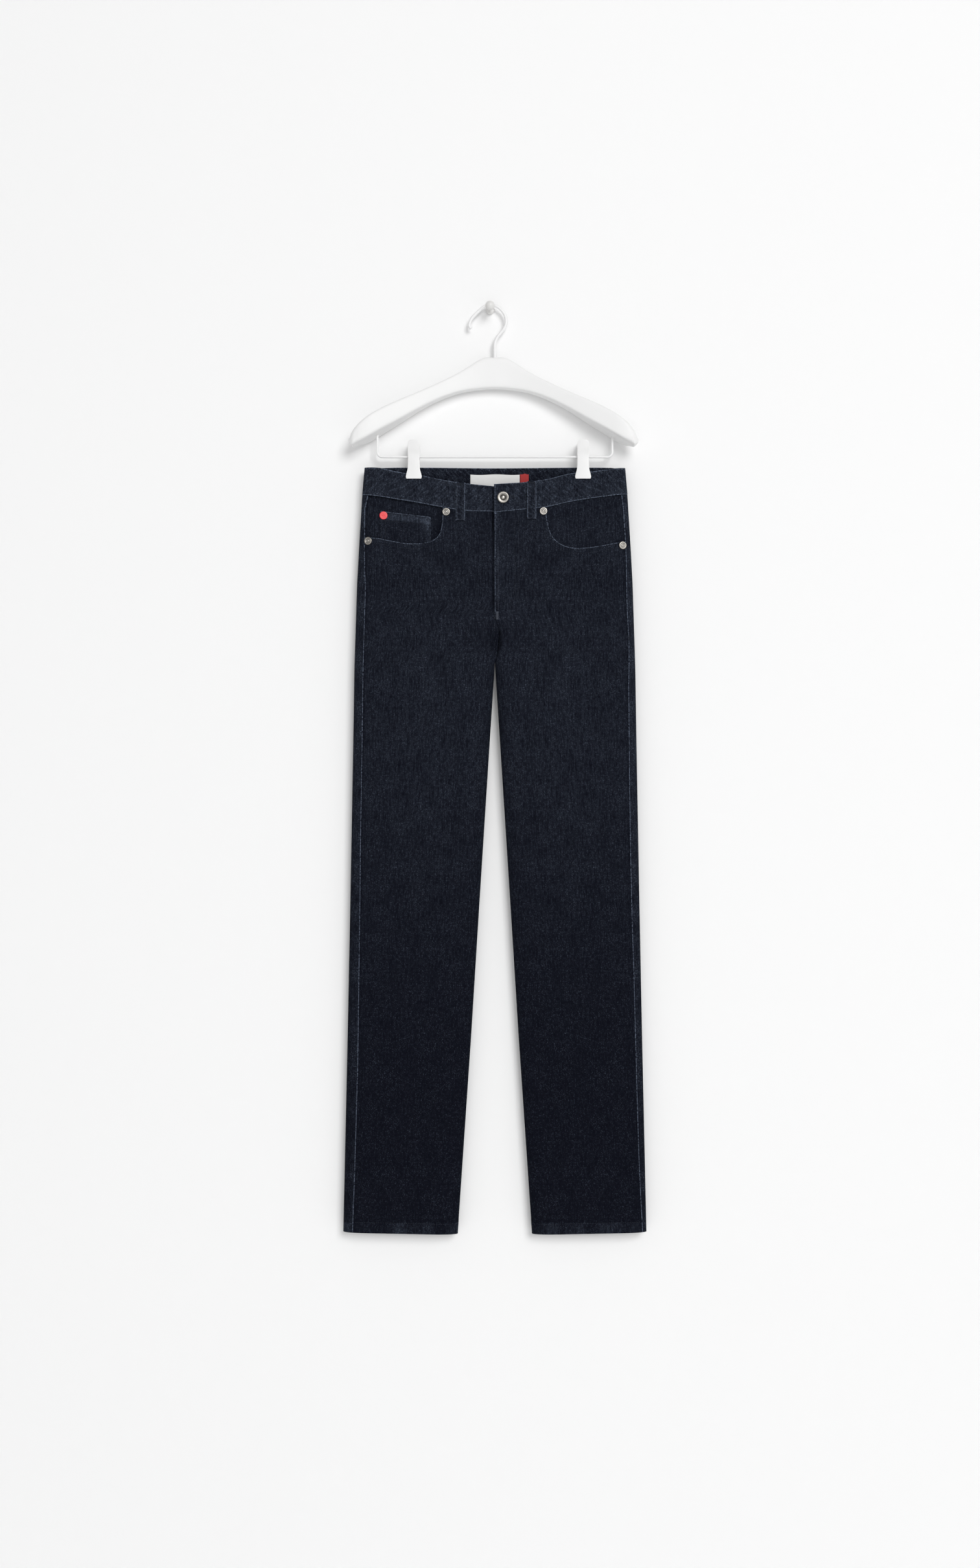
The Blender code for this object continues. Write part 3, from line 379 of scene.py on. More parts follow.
def skin(x, z, face, inset=0.0):
    """The depth of the cloth's outer surface, or of a surface that lies inset below it."""
    x, z = np.asarray(x, float), np.asarray(z, float)
    half = mix(waist_depth(x), read(SECTIONS, z, "depth"), ease((BACK_BAND_TOP - z) / PINCH_HEIGHT)) - inset
    half = half - fold_depth(x, z, face)
    reach = read(SECTIONS, z, "edge") - inset
    from_outer = read(SECTIONS, z, "outer") - inset - np.abs(x)
    from_inner = np.where(z > CROTCH_Z, np.hypot(x, z - CROTCH_Z) - inset,
                          np.abs(x) - read(SECTIONS, z, "inner") - inset)
    return face * half * rounded(from_outer, reach) * rounded(from_inner, reach)


def skin_on(x, z, faces, inset=0.0):
    """The skin at places that each have a face of their own."""
    return np.where(faces == FRONT, skin(x, z, FRONT, inset), skin(x, z, BACK, inset))


def on_skin(x, z, face, inset=0.0, out=0.0):
    """Points on the cloth's outer surface, or on one that lies inset below it, moved along Y."""
    return np.stack([x, skin(x, z, face, inset) + out, z], axis=-1)


def outer_edge(z):
    return read(SECTIONS, z, "outer")


def inner_edge(z):
    return read(SECTIONS, z, "inner")


def band_edge(x, side, edge):
    return smooth_read(BAND_EDGES, np.abs(x), f"{side}_{edge}")


def fly_lap(x, z):
    """How far the left front stands out over the fly, and the right front sinks under it."""
    over_end, under_end = 18.0, -10.0
    closing = 1.0 - ease((FLY_CLOSE - z) / (FLY_CLOSE - FLY_FLAT))
    return closing * (1.0 - ease((x - over_end) / 22.0)), closing * (1.0 - ease((under_end - x) / 24.0))


def by_fly(z):
    """1 beside the fly's edge, 0 below its end."""
    return ease((z - FLY_CLOSE) / 12.0)


def front_lift(side, x, z):
    """How far a front stands out: over or under the fly, and over the turned-up hem."""
    over, under = fly_lap(x, z)
    lap = (DENIM + GAP) / 2.0
    away = x - read(CENTRE_LINE, z, "x")
    if side == "left":
        ridge = FLY_RIDGE * by_fly(z) * np.exp(-((away / RIDGE_WIDTH) ** 2))
        return lap * over + ridge + hem_lift(z)
    return -lap * under - GROOVE_DEPTH * fly_groove(x, z) + hem_lift(z)


def fly_groove(x, z):
    """Along the fly's folded edge the cloth under it sinks into a narrow groove."""
    away = x - read(CENTRE_LINE, z, "x")
    return by_fly(z) * np.exp(-(((away + 1.0) / GROOVE_WIDTH) ** 2)) * (away < 4.0)


def hem_lift(z):
    """The hem's double cloth stands a little proud, with a groove where it is stitched."""
    proud, groove = 0.45, 0.25
    return proud * ease((HEM_STITCH_Z - z) / 4.0) - groove * np.exp(-((z - HEM_STITCH_Z) / 1.6) ** 2)


def band_lift(side, x):
    over, under = fly_lap(x, 0.0)
    lap = (BAND_THICKNESS + GAP) / 2.0
    if side == "left":
        return BAND_PROUD + lap * over
    return BAND_PROUD + (-lap * under - BAND_GROOVE_DEPTH * fly_groove(x, 0.0))


def front_start(side, sign, z):
    """The inner edge of a front: the centre line above the crotch, the leg's edge below it."""
    start = read(CENTRE_LINE, z, "x") + sign * inner_edge(z)
    if side == "right":
        start = start + FLY_UNDERLAP * (1.0 - ease((FLY_END - z) / (FLY_END - FLY_CLOSE)))
    return start


def hem_sag(x, z):
    """The hem's lower edge drops a little towards the inner leg."""
    reach = (outer_edge(HEM_Z) - np.abs(x)) / (outer_edge(HEM_Z) - inner_edge(HEM_Z))
    return np.where(z > HEM_Z + HEM_HEIGHT, 0.0, -HEM_DROP * reach)


def back_top(x):
    return mix(YOKE_CENTRE, YOKE_SIDE, np.minimum(np.abs(x) / outer_edge(YOKE_SIDE), 1.0))


def back_band_bottom(x, face, side):
    share = ease((outer_edge(BACK_BAND_BOTTOM) - np.abs(x)) / 40.0)
    edge = band_edge(x, side, "bottom")
    return np.where(np.asarray(face) == BACK, mix(edge, BACK_BAND_BOTTOM, share), edge)


# The rows of a leg's grid by height, with the rows between them and the waistband, and its columns. The first
# columns lie near the inner edge, and the turning ones round the side edge.
LEVELS = np.concatenate([
    np.arange(-92.5, -262.0, -4.6), [-264.0, -267.0, -269.5, -271.5, -273.0, -273.8, CROTCH_Z],
    [-276.0, -279.0, -283.0], np.arange(-288.0, HEM_Z + HEM_HEIGHT, -5.4),
    HEM_Z + np.array([HEM_HEIGHT, 15.5, 14.2, 13.0, 11.5, 9.0, 6.0, 3.0, 0.0]),
])
TOP_ROWS = 10
TOP_ROWS_END = -88.0
FRONT_COLUMNS, BACK_COLUMNS = 36, 45
NEAR_COLUMNS, TURN_COLUMNS = 10, 6
ROUND_END = TURN_COLUMNS + NEAR_COLUMNS - 1
BESIDE_FLY = FLY_UNDERLAP + np.array([-12.0, -5.0, -0.2, 0.3, 1.2, 2.2, 3.6, 6.0, 12.0, 22.0])


def quarter(reach, steps):
    """Distances from a folded edge that are evenly spaced round its curve."""
    return reach * (1.0 - np.cos(np.linspace(0.0, math.pi / 2.0, steps + 1)))


NEAR = quarter(EDGE_REACH, NEAR_COLUMNS - 1)


def seam_inset(sign, z):
    """How far the side seam lies in from the side edge."""
    heights, insets = np.array(SIDE_SEAMS[sign]).T
    return np.interp(z, heights[::-1], insets[::-1])


def seam_angle(sign, level):
    return np.arccos(np.maximum(1.0 - seam_inset(sign, level) / read(SECTIONS, level, "edge"), 0.0))


def from_edge(level, angle):
    """A place near the side edge, by its angle round the edge's curve."""
    return outer_edge(level) - read(SECTIONS, level, "edge") * (1.0 - np.cos(angle))


def front_across(side, sign, level):
    """The places across a front, from its inner edge to the side seam, each at its own level."""
    level = np.broadcast_to(level, FRONT_COLUMNS)
    start = sign * front_start(side, sign, level)
    turn = slice(FRONT_COLUMNS - TURN_COLUMNS, FRONT_COLUMNS)
    share = (np.arange(FRONT_COLUMNS) - NEAR_COLUMNS + 1) / (turn.start - NEAR_COLUMNS + 1)
    places = mix(start + NEAR[-1], from_edge(level, math.pi / 2.0), np.clip(share, 0.0, 1.0))
    closed = by_fly(level[:NEAR_COLUMNS]) * (side == "right")
    places[:NEAR_COLUMNS] = start[:NEAR_COLUMNS] + mix(NEAR, BESIDE_FLY, closed)
    angles = mix(seam_angle(sign, level[turn]), math.pi / 2.0, np.linspace(1.0, 0.0, TURN_COLUMNS))
    places[turn] = from_edge(level[turn], angles)
    return sign * places


def back_across(sign, level):
    """Places and faces from the seam on the front, round the side edge, across the back to its inner edge."""
    level = np.broadcast_to(level, BACK_COLUMNS)
    turn, edge = slice(0, TURN_COLUMNS), slice(TURN_COLUMNS, ROUND_END)
    middle = slice(ROUND_END, BACK_COLUMNS - NEAR_COLUMNS)
    near = slice(BACK_COLUMNS - NEAR_COLUMNS, BACK_COLUMNS)
    places = np.empty(BACK_COLUMNS)
    places[turn] = from_edge(level[turn], seam_angle(sign, level[turn]) * np.linspace(1.0, 0.0, TURN_COLUMNS))
    places[0] += GAP
    places[edge] = from_edge(level[edge], np.linspace(0.0, math.pi / 2.0, NEAR_COLUMNS)[1:])
    places[near] = inner_edge(level[near]) + NEAR[::-1]
    share = np.linspace(0.0, 1.0, middle.stop - middle.start + 2)[1:-1]
    places[middle] = mix(from_edge(level[middle], math.pi / 2.0), inner_edge(level[middle]) + NEAR[-1], share)
    faces = np.where(np.arange(BACK_COLUMNS) < TURN_COLUMNS, FRONT, BACK)
    return sign * places, faces


def settle(across, height, level):
    """Places across a piece and their heights, which depend on each other."""
    x = across(level)
    for _ in range(3):
        z = np.broadcast_to(height(x), x.shape)
        x = across(z)
    return x, np.array(z, float)


def front_points(side, sign):
    """The grid of points of a front. Its edge stops short of the inseam, which keeps front and back apart."""
    start, inseam_reach = -50.0, 20.0
    rows = []
    for step in range(TOP_ROWS):
        x, z = settle(lambda level: front_across(side, sign, level),
                      lambda x: mix(band_edge(x, side, "bottom") - GAP, TOP_ROWS_END, step / TOP_ROWS), start)
        rows.append((x, skin(x, z, FRONT) + FRONT * front_lift(side, x, z), z))
    for level in LEVELS:
        x = front_across(side, sign, level)
        z = np.full(len(x), level)
        y = skin(x, z, FRONT)
        if level <= CROTCH_Z:
            y[0] = FRONT * INSEAM_STUB
        out = front_lift(side, x, z) * rounded(np.abs(x) - inner_edge(level), inseam_reach)
        rows.append((x, y + FRONT * out, z + hem_sag(x, z)))
    return np.array([np.stack(row, axis=-1) for row in rows])


def wrapped_points(sign, heights):
    """The grid of points of a piece round the side edge and across the back, at heights from functions."""
    rows = []
    for level, height in heights:
        faces = back_across(sign, level)[1]
        x, z = settle(lambda place: back_across(sign, place)[0], lambda x: height(x, faces), level)
        y = skin_on(x, z, faces)
        if level <= CROTCH_Z:
            y[-1] = BACK * INSEAM_STUB
        out = hem_lift(z) * rounded(outer_edge(level) - np.abs(x), 8.0)
        rows.append((x, y + faces * out, z + hem_sag(x, z)))
    return np.array([np.stack(row, axis=-1) for row in rows])


# Making pieces


def deselect():
    for thing in list(bpy.context.selected_objects):
        thing.select_set(False)


def active(name):
    piece = bpy.context.active_object
    piece.name = piece.data.name = name
    return piece


def choose(piece):
    deselect()
    piece.select_set(True)
    bpy.context.view_layer.objects.active = piece


def place(points):
    """Points in the jeans' millimetres, as places in the frame in metres."""
    return (np.asarray(points, float) + np.array(HELD)) * MM


def finish_with(piece, kind, **settings):
    """Adds a modifier and applies it."""
    choose(piece)
    modifier = piece.modifiers.new(kind.title(), kind)
    for key, value in settings.items():
        setattr(modifier, key, value)
    bpy.ops.object.modifier_apply(modifier=modifier.name)


def edit(piece, *steps):
    """Runs edit-mode operators on the whole of a piece."""
    choose(piece)
    bpy.ops.object.mode_set(mode="EDIT")
    bpy.ops.mesh.select_all(action="SELECT")
    for operator, settings in steps:
        operator(**settings)
    bpy.ops.object.mode_set(mode="OBJECT")


def laid_grid(name, points, ring=False):
    """A grid laid through points, with a map of the flat cloth in millimetres."""
    down, across = points.shape[0] - 1, points.shape[1] - 1
    deselect()
    bpy.ops.mesh.primitive_grid_add(x_subdivisions=across, y_subdivisions=down, size=2.0)
    piece = active(name)
    mesh = piece.data
    flat = np.empty(len(mesh.vertices) * 3)
    mesh.vertices.foreach_get("co", flat)
    flat = flat.reshape(-1, 3)
    column = np.rint((flat[:, 0] + 1.0) / 2.0 * across).astype(int)
    row = np.rint((1.0 - flat[:, 1]) / 2.0 * down).astype(int)
    mesh.vertices.foreach_set("co", place(points[row, column]).astype(np.float32).ravel())
    u = np.zeros((down + 1, across + 1))
    u[:, 1:] = np.cumsum(np.linalg.norm(np.diff(points, axis=1), axis=2), axis=1)
    u = u - u[:, across // 2][:, None]
    v = points[:, across // 2, 2][:, None] + np.zeros((1, across + 1))
    corner = np.empty(len(mesh.loops), int)
    mesh.loops.foreach_get("vertex_index", corner)
    layer = mesh.uv_layers[0]
    layer.name = "cloth"
    layer.data.foreach_set("uv", np.stack([u[row, column][corner], v[row, column][corner]], axis=-1)
                           .astype(np.float32).ravel())
    mesh.update()
    if ring:
        edit(piece, (bpy.ops.mesh.remove_doubles, {"threshold": RING_WELD}))
    return piece


def face_outwards(piece, toward):
    """Turns the faces over if the one that lies furthest in a direction looks the other way."""
    toward = Vector(toward)
    furthest = max(piece.data.polygons, key=lambda polygon: polygon.center.dot(toward))
    if furthest.normal.dot(toward) < 0.0:
        edit(piece, (bpy.ops.mesh.flip_normals, {}))


def flat_size(points):
    """The width, length and area of a grid of cloth laid flat, in metres."""
    across = np.linalg.norm(np.diff(points, axis=1), axis=2)
    down = np.linalg.norm(np.diff(points, axis=0), axis=2)
    one = points[1:, 1:] - points[:-1, :-1]
    two = points[1:, :-1] - points[:-1, 1:]
    area = np.linalg.norm(np.cross(one, two), axis=2).sum() / 2.0
    width, length = across.sum(axis=1).max() * MM, down.sum(axis=0).max() * MM
    return width, length, min(area * MM * MM, width * length)


def cloth(name, points, toward, thickness, ring=False, bevel=0.0, cut=None):
    """A wall of cloth through points, closed all round."""
    piece = laid_grid(name, points, ring)
    face_outwards(piece, toward)
    finish_with(piece, "SOLIDIFY", thickness=thickness * MM, offset=-1.0)
    if cut:
        finish_with(piece, "BOOLEAN", operation="DIFFERENCE", object=cut, solver="EXACT")
        bpy.data.objects.remove(cut)
    if bevel:
        finish_with(piece, "BEVEL", width=bevel * MM, segments=2, limit_method="ANGLE",
                    angle_limit=math.radians(50.0))
    return piece


def hand_over(piece, material, node=None, smooth=50.0):
    """Shades a piece, gives it its material, and sets it on the frame, in place of a node if one is named."""
    choose(piece)
    bpy.ops.object.shade_smooth_by_angle(angle=math.radians(smooth))
    piece.data.materials.clear()
    piece.data.materials.append(bpy.data.materials[material])
    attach(piece, "root")
    if node:
        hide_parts(node)
    return piece


def declare(piece, points, with_pieces=()):
    width, length, area = flat_size(points)


def distance_to(path, x, z):
    """How far places lie from a path of x and z."""
    best = np.full(np.broadcast(x, z).shape, 1e9)
    for (x0, z0), (x1, z1) in zip(path, path[1:]):
        run = (x1 - x0) ** 2 + (z1 - z0) ** 2
        share = np.clip(((x - x0) * (x1 - x0) + (z - z0) * (z1 - z0)) / run, 0.0, 1.0)
        best = np.minimum(best, np.hypot(x - x0 - (x1 - x0) * share, z - z0 - (z1 - z0) * share))
    return best


def smoothed(path, steps=6):
    """A smooth curve through a path's points."""
    places = [np.array(p, float) for p in path]
    places = [2 * places[0] - places[1], *places, 2 * places[-1] - places[-2]]
    result = []
    for a, b, c, d in zip(places, places[1:], places[2:], places[3:]):
        for step in range(steps):
            t = step / steps
            result.append(tuple(0.5 * (2 * b + (c - a) * t + (2 * a - 5 * b + 4 * c - d) * t * t
                                       + (3 * b - a - 3 * c + d) * t**3)))
    return result + [tuple(places[-2])]


MOUTHS = {side: smoothed(path) for side, path in POCKET_MOUTHS.items()}


def note_wear_and_painted_shade(piece, edge, fade_and_painted_shade):
    """Stores on each point, from functions, its distance from a worn edge in millimetres and its fading, which
    also carries painted shade.
    """
    mesh = piece.data
    co = np.empty(len(mesh.vertices) * 3)
    mesh.vertices.foreach_get("co", co)
    x, y, z = (co.reshape(-1, 3) / MM - np.array(HELD)).T
    for name, function in (("edge", edge), ("fade_and_painted_shade", fade_and_painted_shade)):
        values = np.broadcast_to(function(x, y, z), x.shape)
        mesh.attributes.new(name, "FLOAT", "POINT").data.foreach_set("value", values.astype(np.float32))


def bump_at(x, z, middle_x, middle_z, wide, high):
    return np.exp(-((x - middle_x) / wide) ** 2 - ((z - middle_z) / high) ** 2)


def front_fade_and_painted_shade(x, y, z):
    """Fading with painted shade: lighter on the thighs and at the fly from wear; darker towards the hem,
    partly wear and partly painted shade; painted shade in the side seams, the fly's groove and the crotch
    crease; patchy wear on the hem.
    """
    # Darker towards the hem: partly wear, partly painted shade for the light that falls from above.
    leg = 0.02 + 0.48 * ease((z + 930.0) / 660.0)
    thigh = 0.10 * bump_at(np.abs(x), z, 92.0, -380.0, 55.0, 190.0)
    fly = 0.16 * bump_at(x, z, 14.0, -125.0, 17.0, 90.0) * (x > -1.5)
    # Painted shade in the side seams and in the fly's groove.
    seam, groove = 0.8 * np.exp(-seam_distance(x, z) / 1.1), 0.9 * fly_groove(x, z)
    # Painted shade in the crotch crease.
    crotch = 0.75 * bump_at(x, z, 0.0, -243.0, 9.0, 24.0)
    patchy = 0.5 + 0.5 * np.sin(x / 6.1 + 2.0 * np.sin(x / 17.0)) * np.cos(x / 23.0)
    hem = (0.06 + 0.95 * patchy**2) * ease((HEM_STITCH_Z - 0.1 - z) / 1.5)
    return (leg + thigh + fly) * (1.0 - seam) * (1.0 - groove) * (1.0 - crotch) + hem


# Materials


class Value:
    """A number from a material's nodes, on which Python's arithmetic adds Math nodes."""

    def __init__(self, shader, socket):
        self.shader, self.socket = shader, socket

    def math(self, operation, *others, clamp=False):
        return self.shader.math(operation, self, *others, clamp=clamp)

    def __add__(self, other):
        return self.math("ADD", other)

    __radd__ = __add__

    def __sub__(self, other):
        return self.math("SUBTRACT", other)

    def __mul__(self, other):
        return self.math("MULTIPLY", other)

    __rmul__ = __mul__

    def __truediv__(self, other):
        return self.math("DIVIDE", other)

    def between(self, low, high):
        """0 at low, 1 at high, eased between; low may be above high."""
        ends = {"Value": self, "From Min": low, "From Max": high, "To Min": 0.0, "To Max": 1.0}
        kind = {"interpolation_type": "SMOOTHSTEP", "clamp": True}
        return Value(self.shader, self.shader.node("ShaderNodeMapRange", kind, ends).outputs["Result"])

    def clamped(self):
        return self.math("ADD", 0.0, clamp=True)


class Shader:
    """A material's nodes, made one call each."""

    def __init__(self, name, colour):
        self.material = bpy.data.materials.new(name)
        self.material.use_nodes = True
        self.material.diffuse_color = (*colour, 1.0)
        self.tree = self.material.node_tree
        self.surface = self.tree.nodes["Principled BSDF"]

    def node(self, kind, settings=None, inputs=None):
        made = self.tree.nodes.new(kind)
        for key, value in (settings or {}).items():
            setattr(made, key, value)
        for key, value in (inputs or {}).items():
            self.join(made.inputs[key], value)
        return made

    def join(self, socket, value):
        if isinstance(value, Value):
            self.tree.links.new(value.socket, socket)
        elif isinstance(value, bpy.types.NodeSocket):
            self.tree.links.new(value, socket)
        else:
            if socket.type == "RGBA" and len(value) == 3:
                value = (*value, 1.0)
            socket.default_value = value

    def math(self, operation, *values, clamp=False):
        settings = {"operation": operation, "use_clamp": clamp}
        return Value(self, self.node("ShaderNodeMath", settings, dict(enumerate(values))).outputs[0])

    def attribute(self, name):
        return Value(self, self.node("ShaderNodeAttribute", {"attribute_name": name}).outputs["Fac"])

    def flat(self):
        """The two coordinates of the flat cloth, in millimetres."""
        uv = self.node("ShaderNodeUVMap", {"uv_map": "cloth"}).outputs["UV"]
        split = self.node("ShaderNodeSeparateXYZ", {}, {"Vector": uv})
        return Value(self, split.outputs["X"]), Value(self, split.outputs["Y"])

    def solid(self):
        """The three coordinates of the piece, in metres."""
        where = self.node("ShaderNodeTexCoord").outputs["Object"]
        split = self.node("ShaderNodeSeparateXYZ", {}, {"Vector": where})
        return tuple(Value(self, split.outputs[axis]) for axis in "XYZ")

    def solid_noise(self, size, detail=2.0, roughness=0.5, length=None):
        """Noise all through the piece, with a grain of a size in metres, and of another length along Z."""
        x, y, z = self.solid()
        return self.noise(x / size, y / size, z / (length or size), detail, roughness)

    def noise(self, x, y, z=0.0, detail=2.0, roughness=0.5):
        vector = self.node("ShaderNodeCombineXYZ", {}, {"X": x, "Y": y, "Z": z}).outputs[0]
        node = self.node("ShaderNodeTexNoise", {"noise_dimensions": "3D"},
                         {"Vector": vector, "Scale": 1.0, "Detail": detail, "Roughness": roughness})
        return Value(self, node.outputs["Fac"])

    def blend(self, share, first, second):
        """A colour between two."""
        node = self.node("ShaderNodeMix", {"data_type": "RGBA"})
        self.join(node.inputs["Factor"], share)
        colours = [socket for socket in node.inputs if socket.type == "RGBA"]
        self.join(colours[0], first)
        self.join(colours[1], second)
        return next(socket for socket in node.outputs if socket.type == "RGBA")

    def bump(self, height, distance, strength=1.0):
        """Raises the surface by a height from 0 to 1 times a distance in metres."""
        node = self.node("ShaderNodeBump", {}, {"Strength": strength, "Distance": distance, "Height": height})
        self.join(self.surface.inputs["Normal"], node.outputs["Normal"])

    def set(self, **values):
        for key, value in values.items():
            self.join(self.surface.inputs[key.replace("_", " ")], value)


def denim_material(name, shade=0.0, patches=0.0):
    """Dark indigo twill: slubby warp, light flecks of weft, worn edges, patchy fading, and the painted shade
    that the stored fading carries.
    """
    look = bpy.context.scene.jeans_denim
    shader = Shader(name, look.dark)
    u, v = shader.flat()
    edge, fade_and_painted_shade = shader.attribute("edge"), shader.attribute("fade_and_painted_shade")
    slub = shader.noise(u / 1.6, v / 17.0, 0.0, 3.0, 0.6)
    long_slub = shader.noise(u / 5.0, v / 90.0, 3.0, 2.0)
    fleck = shader.noise(u / 1.2, v / 1.8, 7.0, 2.0, 0.8)
    grain = shader.noise(u / 3.2, v / 4.6, 9.0, 3.0, 0.65)
    mottle = shader.noise(u / 24.0, v / 36.0, 11.0, 3.0, 0.6)
    pitch = look.twill / MM
    twill = ((u * 0.8 + v) * (2.0 * math.pi / pitch)).math("SINE") * 0.5 + 0.5
    # The stored fading sets the base tone, painted shade included.
    base = fade_and_painted_shade * 0.155 + shade
    cloudy = mottle.between(0.34, 0.66)
    body = (base * 0.85 + 0.005) * (slub * 1.9 + grain * 1.0 + long_slub * 0.5 + cloudy * 0.15 - 1.25)
    specks = (fleck.between(0.48, 0.68) * (base * 0.8 + 0.245) * grain.between(0.36, 0.60)
              * (slub.between(0.36, 0.62) * 0.65 + cloudy * 0.45 + 0.03))
    worn = shader.noise(u / 2.4, v / 2.4, 17.0, 2.0, 0.7)
    line = edge.between(0.95, 0.30) * worn.between(0.35, 0.60)
    rubbed = edge.between(8.5, 2.0) * worn.between(0.44, 0.66) * cloudy
    worn_edge = (line * 0.85 + rubbed * fleck.between(0.42, 0.62) * 0.30) * look.wear
    tone = body + specks + worn_edge + (twill - 0.5) * 0.02
    if patches:
        patch = shader.noise((u - v) / 16.0, (u + v) / 4.5, 23.0, 3.0, 0.6)
        tone = tone + patch.between(0.42, 0.70) * (grain * 0.5 + fleck.between(0.45, 0.65) * 0.7) * patches
    colour = shader.blend(tone.clamped(), look.dark, look.light)
    ripple = shader.noise(u / 6.0, v / 6.0, 29.0, 1.0) * edge.between(12.0, 2.0)
    shader.bump(twill * 0.30 + slub * 0.35 + fleck * 0.25 + ripple * 2.2, 0.00035, 0.7)
    shader.set(Base_Color=colour, Roughness=0.92, Specular_IOR_Level=0.06)
    return shader.material


def dimmed(colour, share):
    return tuple(min(c * share, 1.0) for c in colour)


def thread_material(name, thread):
    shader = Shader(name, thread)
    twist, patch = shader.solid_noise(0.0008, 1.0), shader.solid_noise(0.012)
    share = (twist * 0.6 + patch * 0.6 - 0.1).clamped()
    colour = shader.blend(share, dimmed(thread, 0.35), dimmed(thread, 1.6))
    shader.bump(twist, 0.0001, 0.6)
    shader.set(Base_Color=colour, Roughness=0.8, Specular_IOR_Level=0.3)
    return shader.material


def metal_material():
    """Old nickel, darker in its grooves, with painted shade at the rims and a painted highlight on the
    button's dome.
    """
    look = bpy.context.scene.jeans_trim
    shader = Shader("antique_nickel", look.metal)
    tarnish = shader.solid_noise(0.004, 3.0, 0.6)
    # How light the metal is: darker grooves, painted shade at the rims and a painted highlight on the button's
    # dome.
    patina_and_painted_light = shader.attribute("patina_and_painted_light") * (tarnish * 0.5 + 0.75)
    colour = shader.blend(patina_and_painted_light.clamped(), dimmed(look.metal, 0.10), look.metal)
    shader.bump(shader.solid_noise(0.0004), 0.00003, 0.4)
    shader.set(Base_Color=colour, Metallic=1.0, Roughness=tarnish * 0.15 + 0.30)
    return shader.material


def red_material():
    look = bpy.context.scene.jeans_trim
    shader = Shader("red_lacquer", look.red)
    chips = shader.solid_noise(0.0015, 3.0)
    shader.bump(chips, 0.00005, 0.4)
    colour = shader.blend(chips, dimmed(look.red, 0.8), look.red)
    shader.set(Base_Color=colour, Roughness=0.35, Coat_Weight=0.4, Coat_Roughness=0.2)
    return shader.material


def tape_material(name, colour):
    """A fine woven tape."""
    shader = Shader(name, colour)
    u, v = shader.flat()
    weave = ((u * (2 * math.pi / 0.5)).math("SINE") * (v * (2 * math.pi / 0.4)).math("SINE")) * 0.5 + 0.5
    rub = shader.noise(u / 5.0, v / 5.0, 0.0, 3.0)
    shaded = shader.blend((weave * 0.5 + rub * 0.5).clamped(), dimmed(colour, 0.86), colour)
    shader.bump(weave, 0.00008, 0.5)
    shader.set(Base_Color=shaded, Roughness=0.7, Specular_IOR_Level=0.3)
    return shader.material


def plastic_material(name, colour, roughness):
    """Satin moulded plastic with a faint orange peel."""
    shader = Shader(name, colour)
    peel, cloud = shader.solid_noise(0.0016), shader.solid_noise(0.06)
    shader.bump(peel, 0.00004, 0.25)
    shader.set(Base_Color=shader.blend(cloud, dimmed(colour, 0.975), colour),
               Roughness=peel * 0.08 + roughness, Specular_IOR_Level=0.4)
    return shader.material


def wire_material(name, colour, metallic=0.0):
    shader = Shader(name, colour)
    drawn = shader.solid_noise(0.0005, length=0.006)
    shader.bump(drawn, 0.00003, 0.3)
    shader.set(Base_Color=shader.blend(drawn, dimmed(colour, 0.94), colour),
               Roughness=drawn * 0.10 + 0.30, Metallic=metallic)
    return shader.material


def backdrop_material():
    """A pale wall that glows a little, and can't be seen from behind."""
    look = bpy.context.scene.jeans_stage
    shader = Shader("backdrop", look.backdrop)
    glow = shader.node("ShaderNodeEmission", {}, {"Color": (*look.backdrop, 1.0), "Strength": 0.05})
    matt = shader.node("ShaderNodeBsdfDiffuse", {}, {"Color": (*look.backdrop, 1.0)})
    both = shader.node("ShaderNodeAddShader", {}, {0: glow.outputs[0], 1: matt.outputs[0]})
    clear = shader.node("ShaderNodeBsdfTransparent")
    behind = shader.node("ShaderNodeNewGeometry").outputs["Backfacing"]
    seen = shader.node("ShaderNodeMixShader", {}, {0: behind, 1: both.outputs[0], 2: clear.outputs[0]})
    shader.join(shader.tree.nodes["Material Output"].inputs["Surface"], seen.outputs[0])
    shader.tree.nodes.remove(shader.surface)
    return shader.material


# Cloth pieces

DENIM_MATERIALS = {"denim": "dark_denim", "denim_band": "band_denim"}


def denim_piece(node, points, toward, edge, fade_and_painted_shade, thickness=DENIM, slot="denim", **making):
    """A piece of denim in place of its node, with its wear and painted shade from functions, and its grid of
    points.
    """
    piece = cloth(f"{node}_cloth", points, toward, thickness, **making)
    note_wear_and_painted_shade(piece, edge, fade_and_painted_shade)
    hand_over(piece, DENIM_MATERIALS[slot], node)
    return piece, points


def mouth_cutter(side, sign):
    """A prism over a front pocket's mouth."""
    side_x, top_z, front_y, depth = sign * 200.0, -20.0, -40.0, 44.0
    outline = [*MOUTHS[side], (side_x, top_z), (MOUTHS[side][0][0], top_z)]
    deselect()
    bpy.ops.mesh.primitive_circle_add(vertices=len(outline), radius=1.0, fill_type="NGON")
    cutter = active(f"mouth_{side}")
    for vertex, (x, z) in zip(cutter.data.vertices, outline):
        vertex.co = Vector(place((x, front_y, z)))
    edit(cutter,
         (bpy.ops.mesh.extrude_region_move, {"TRANSFORM_OT_translate": {"value": (0.0, depth * MM, 0.0)}}),
         (bpy.ops.mesh.select_all, {"action": "SELECT"}),
         (bpy.ops.mesh.normals_make_consistent, {"inside": False}))
    return cutter


def seam_distance(x, z):
    return np.abs(outer_edge(z) - np.where(x < 0.0, seam_inset(-1, z), seam_inset(1, z)) - np.abs(x))


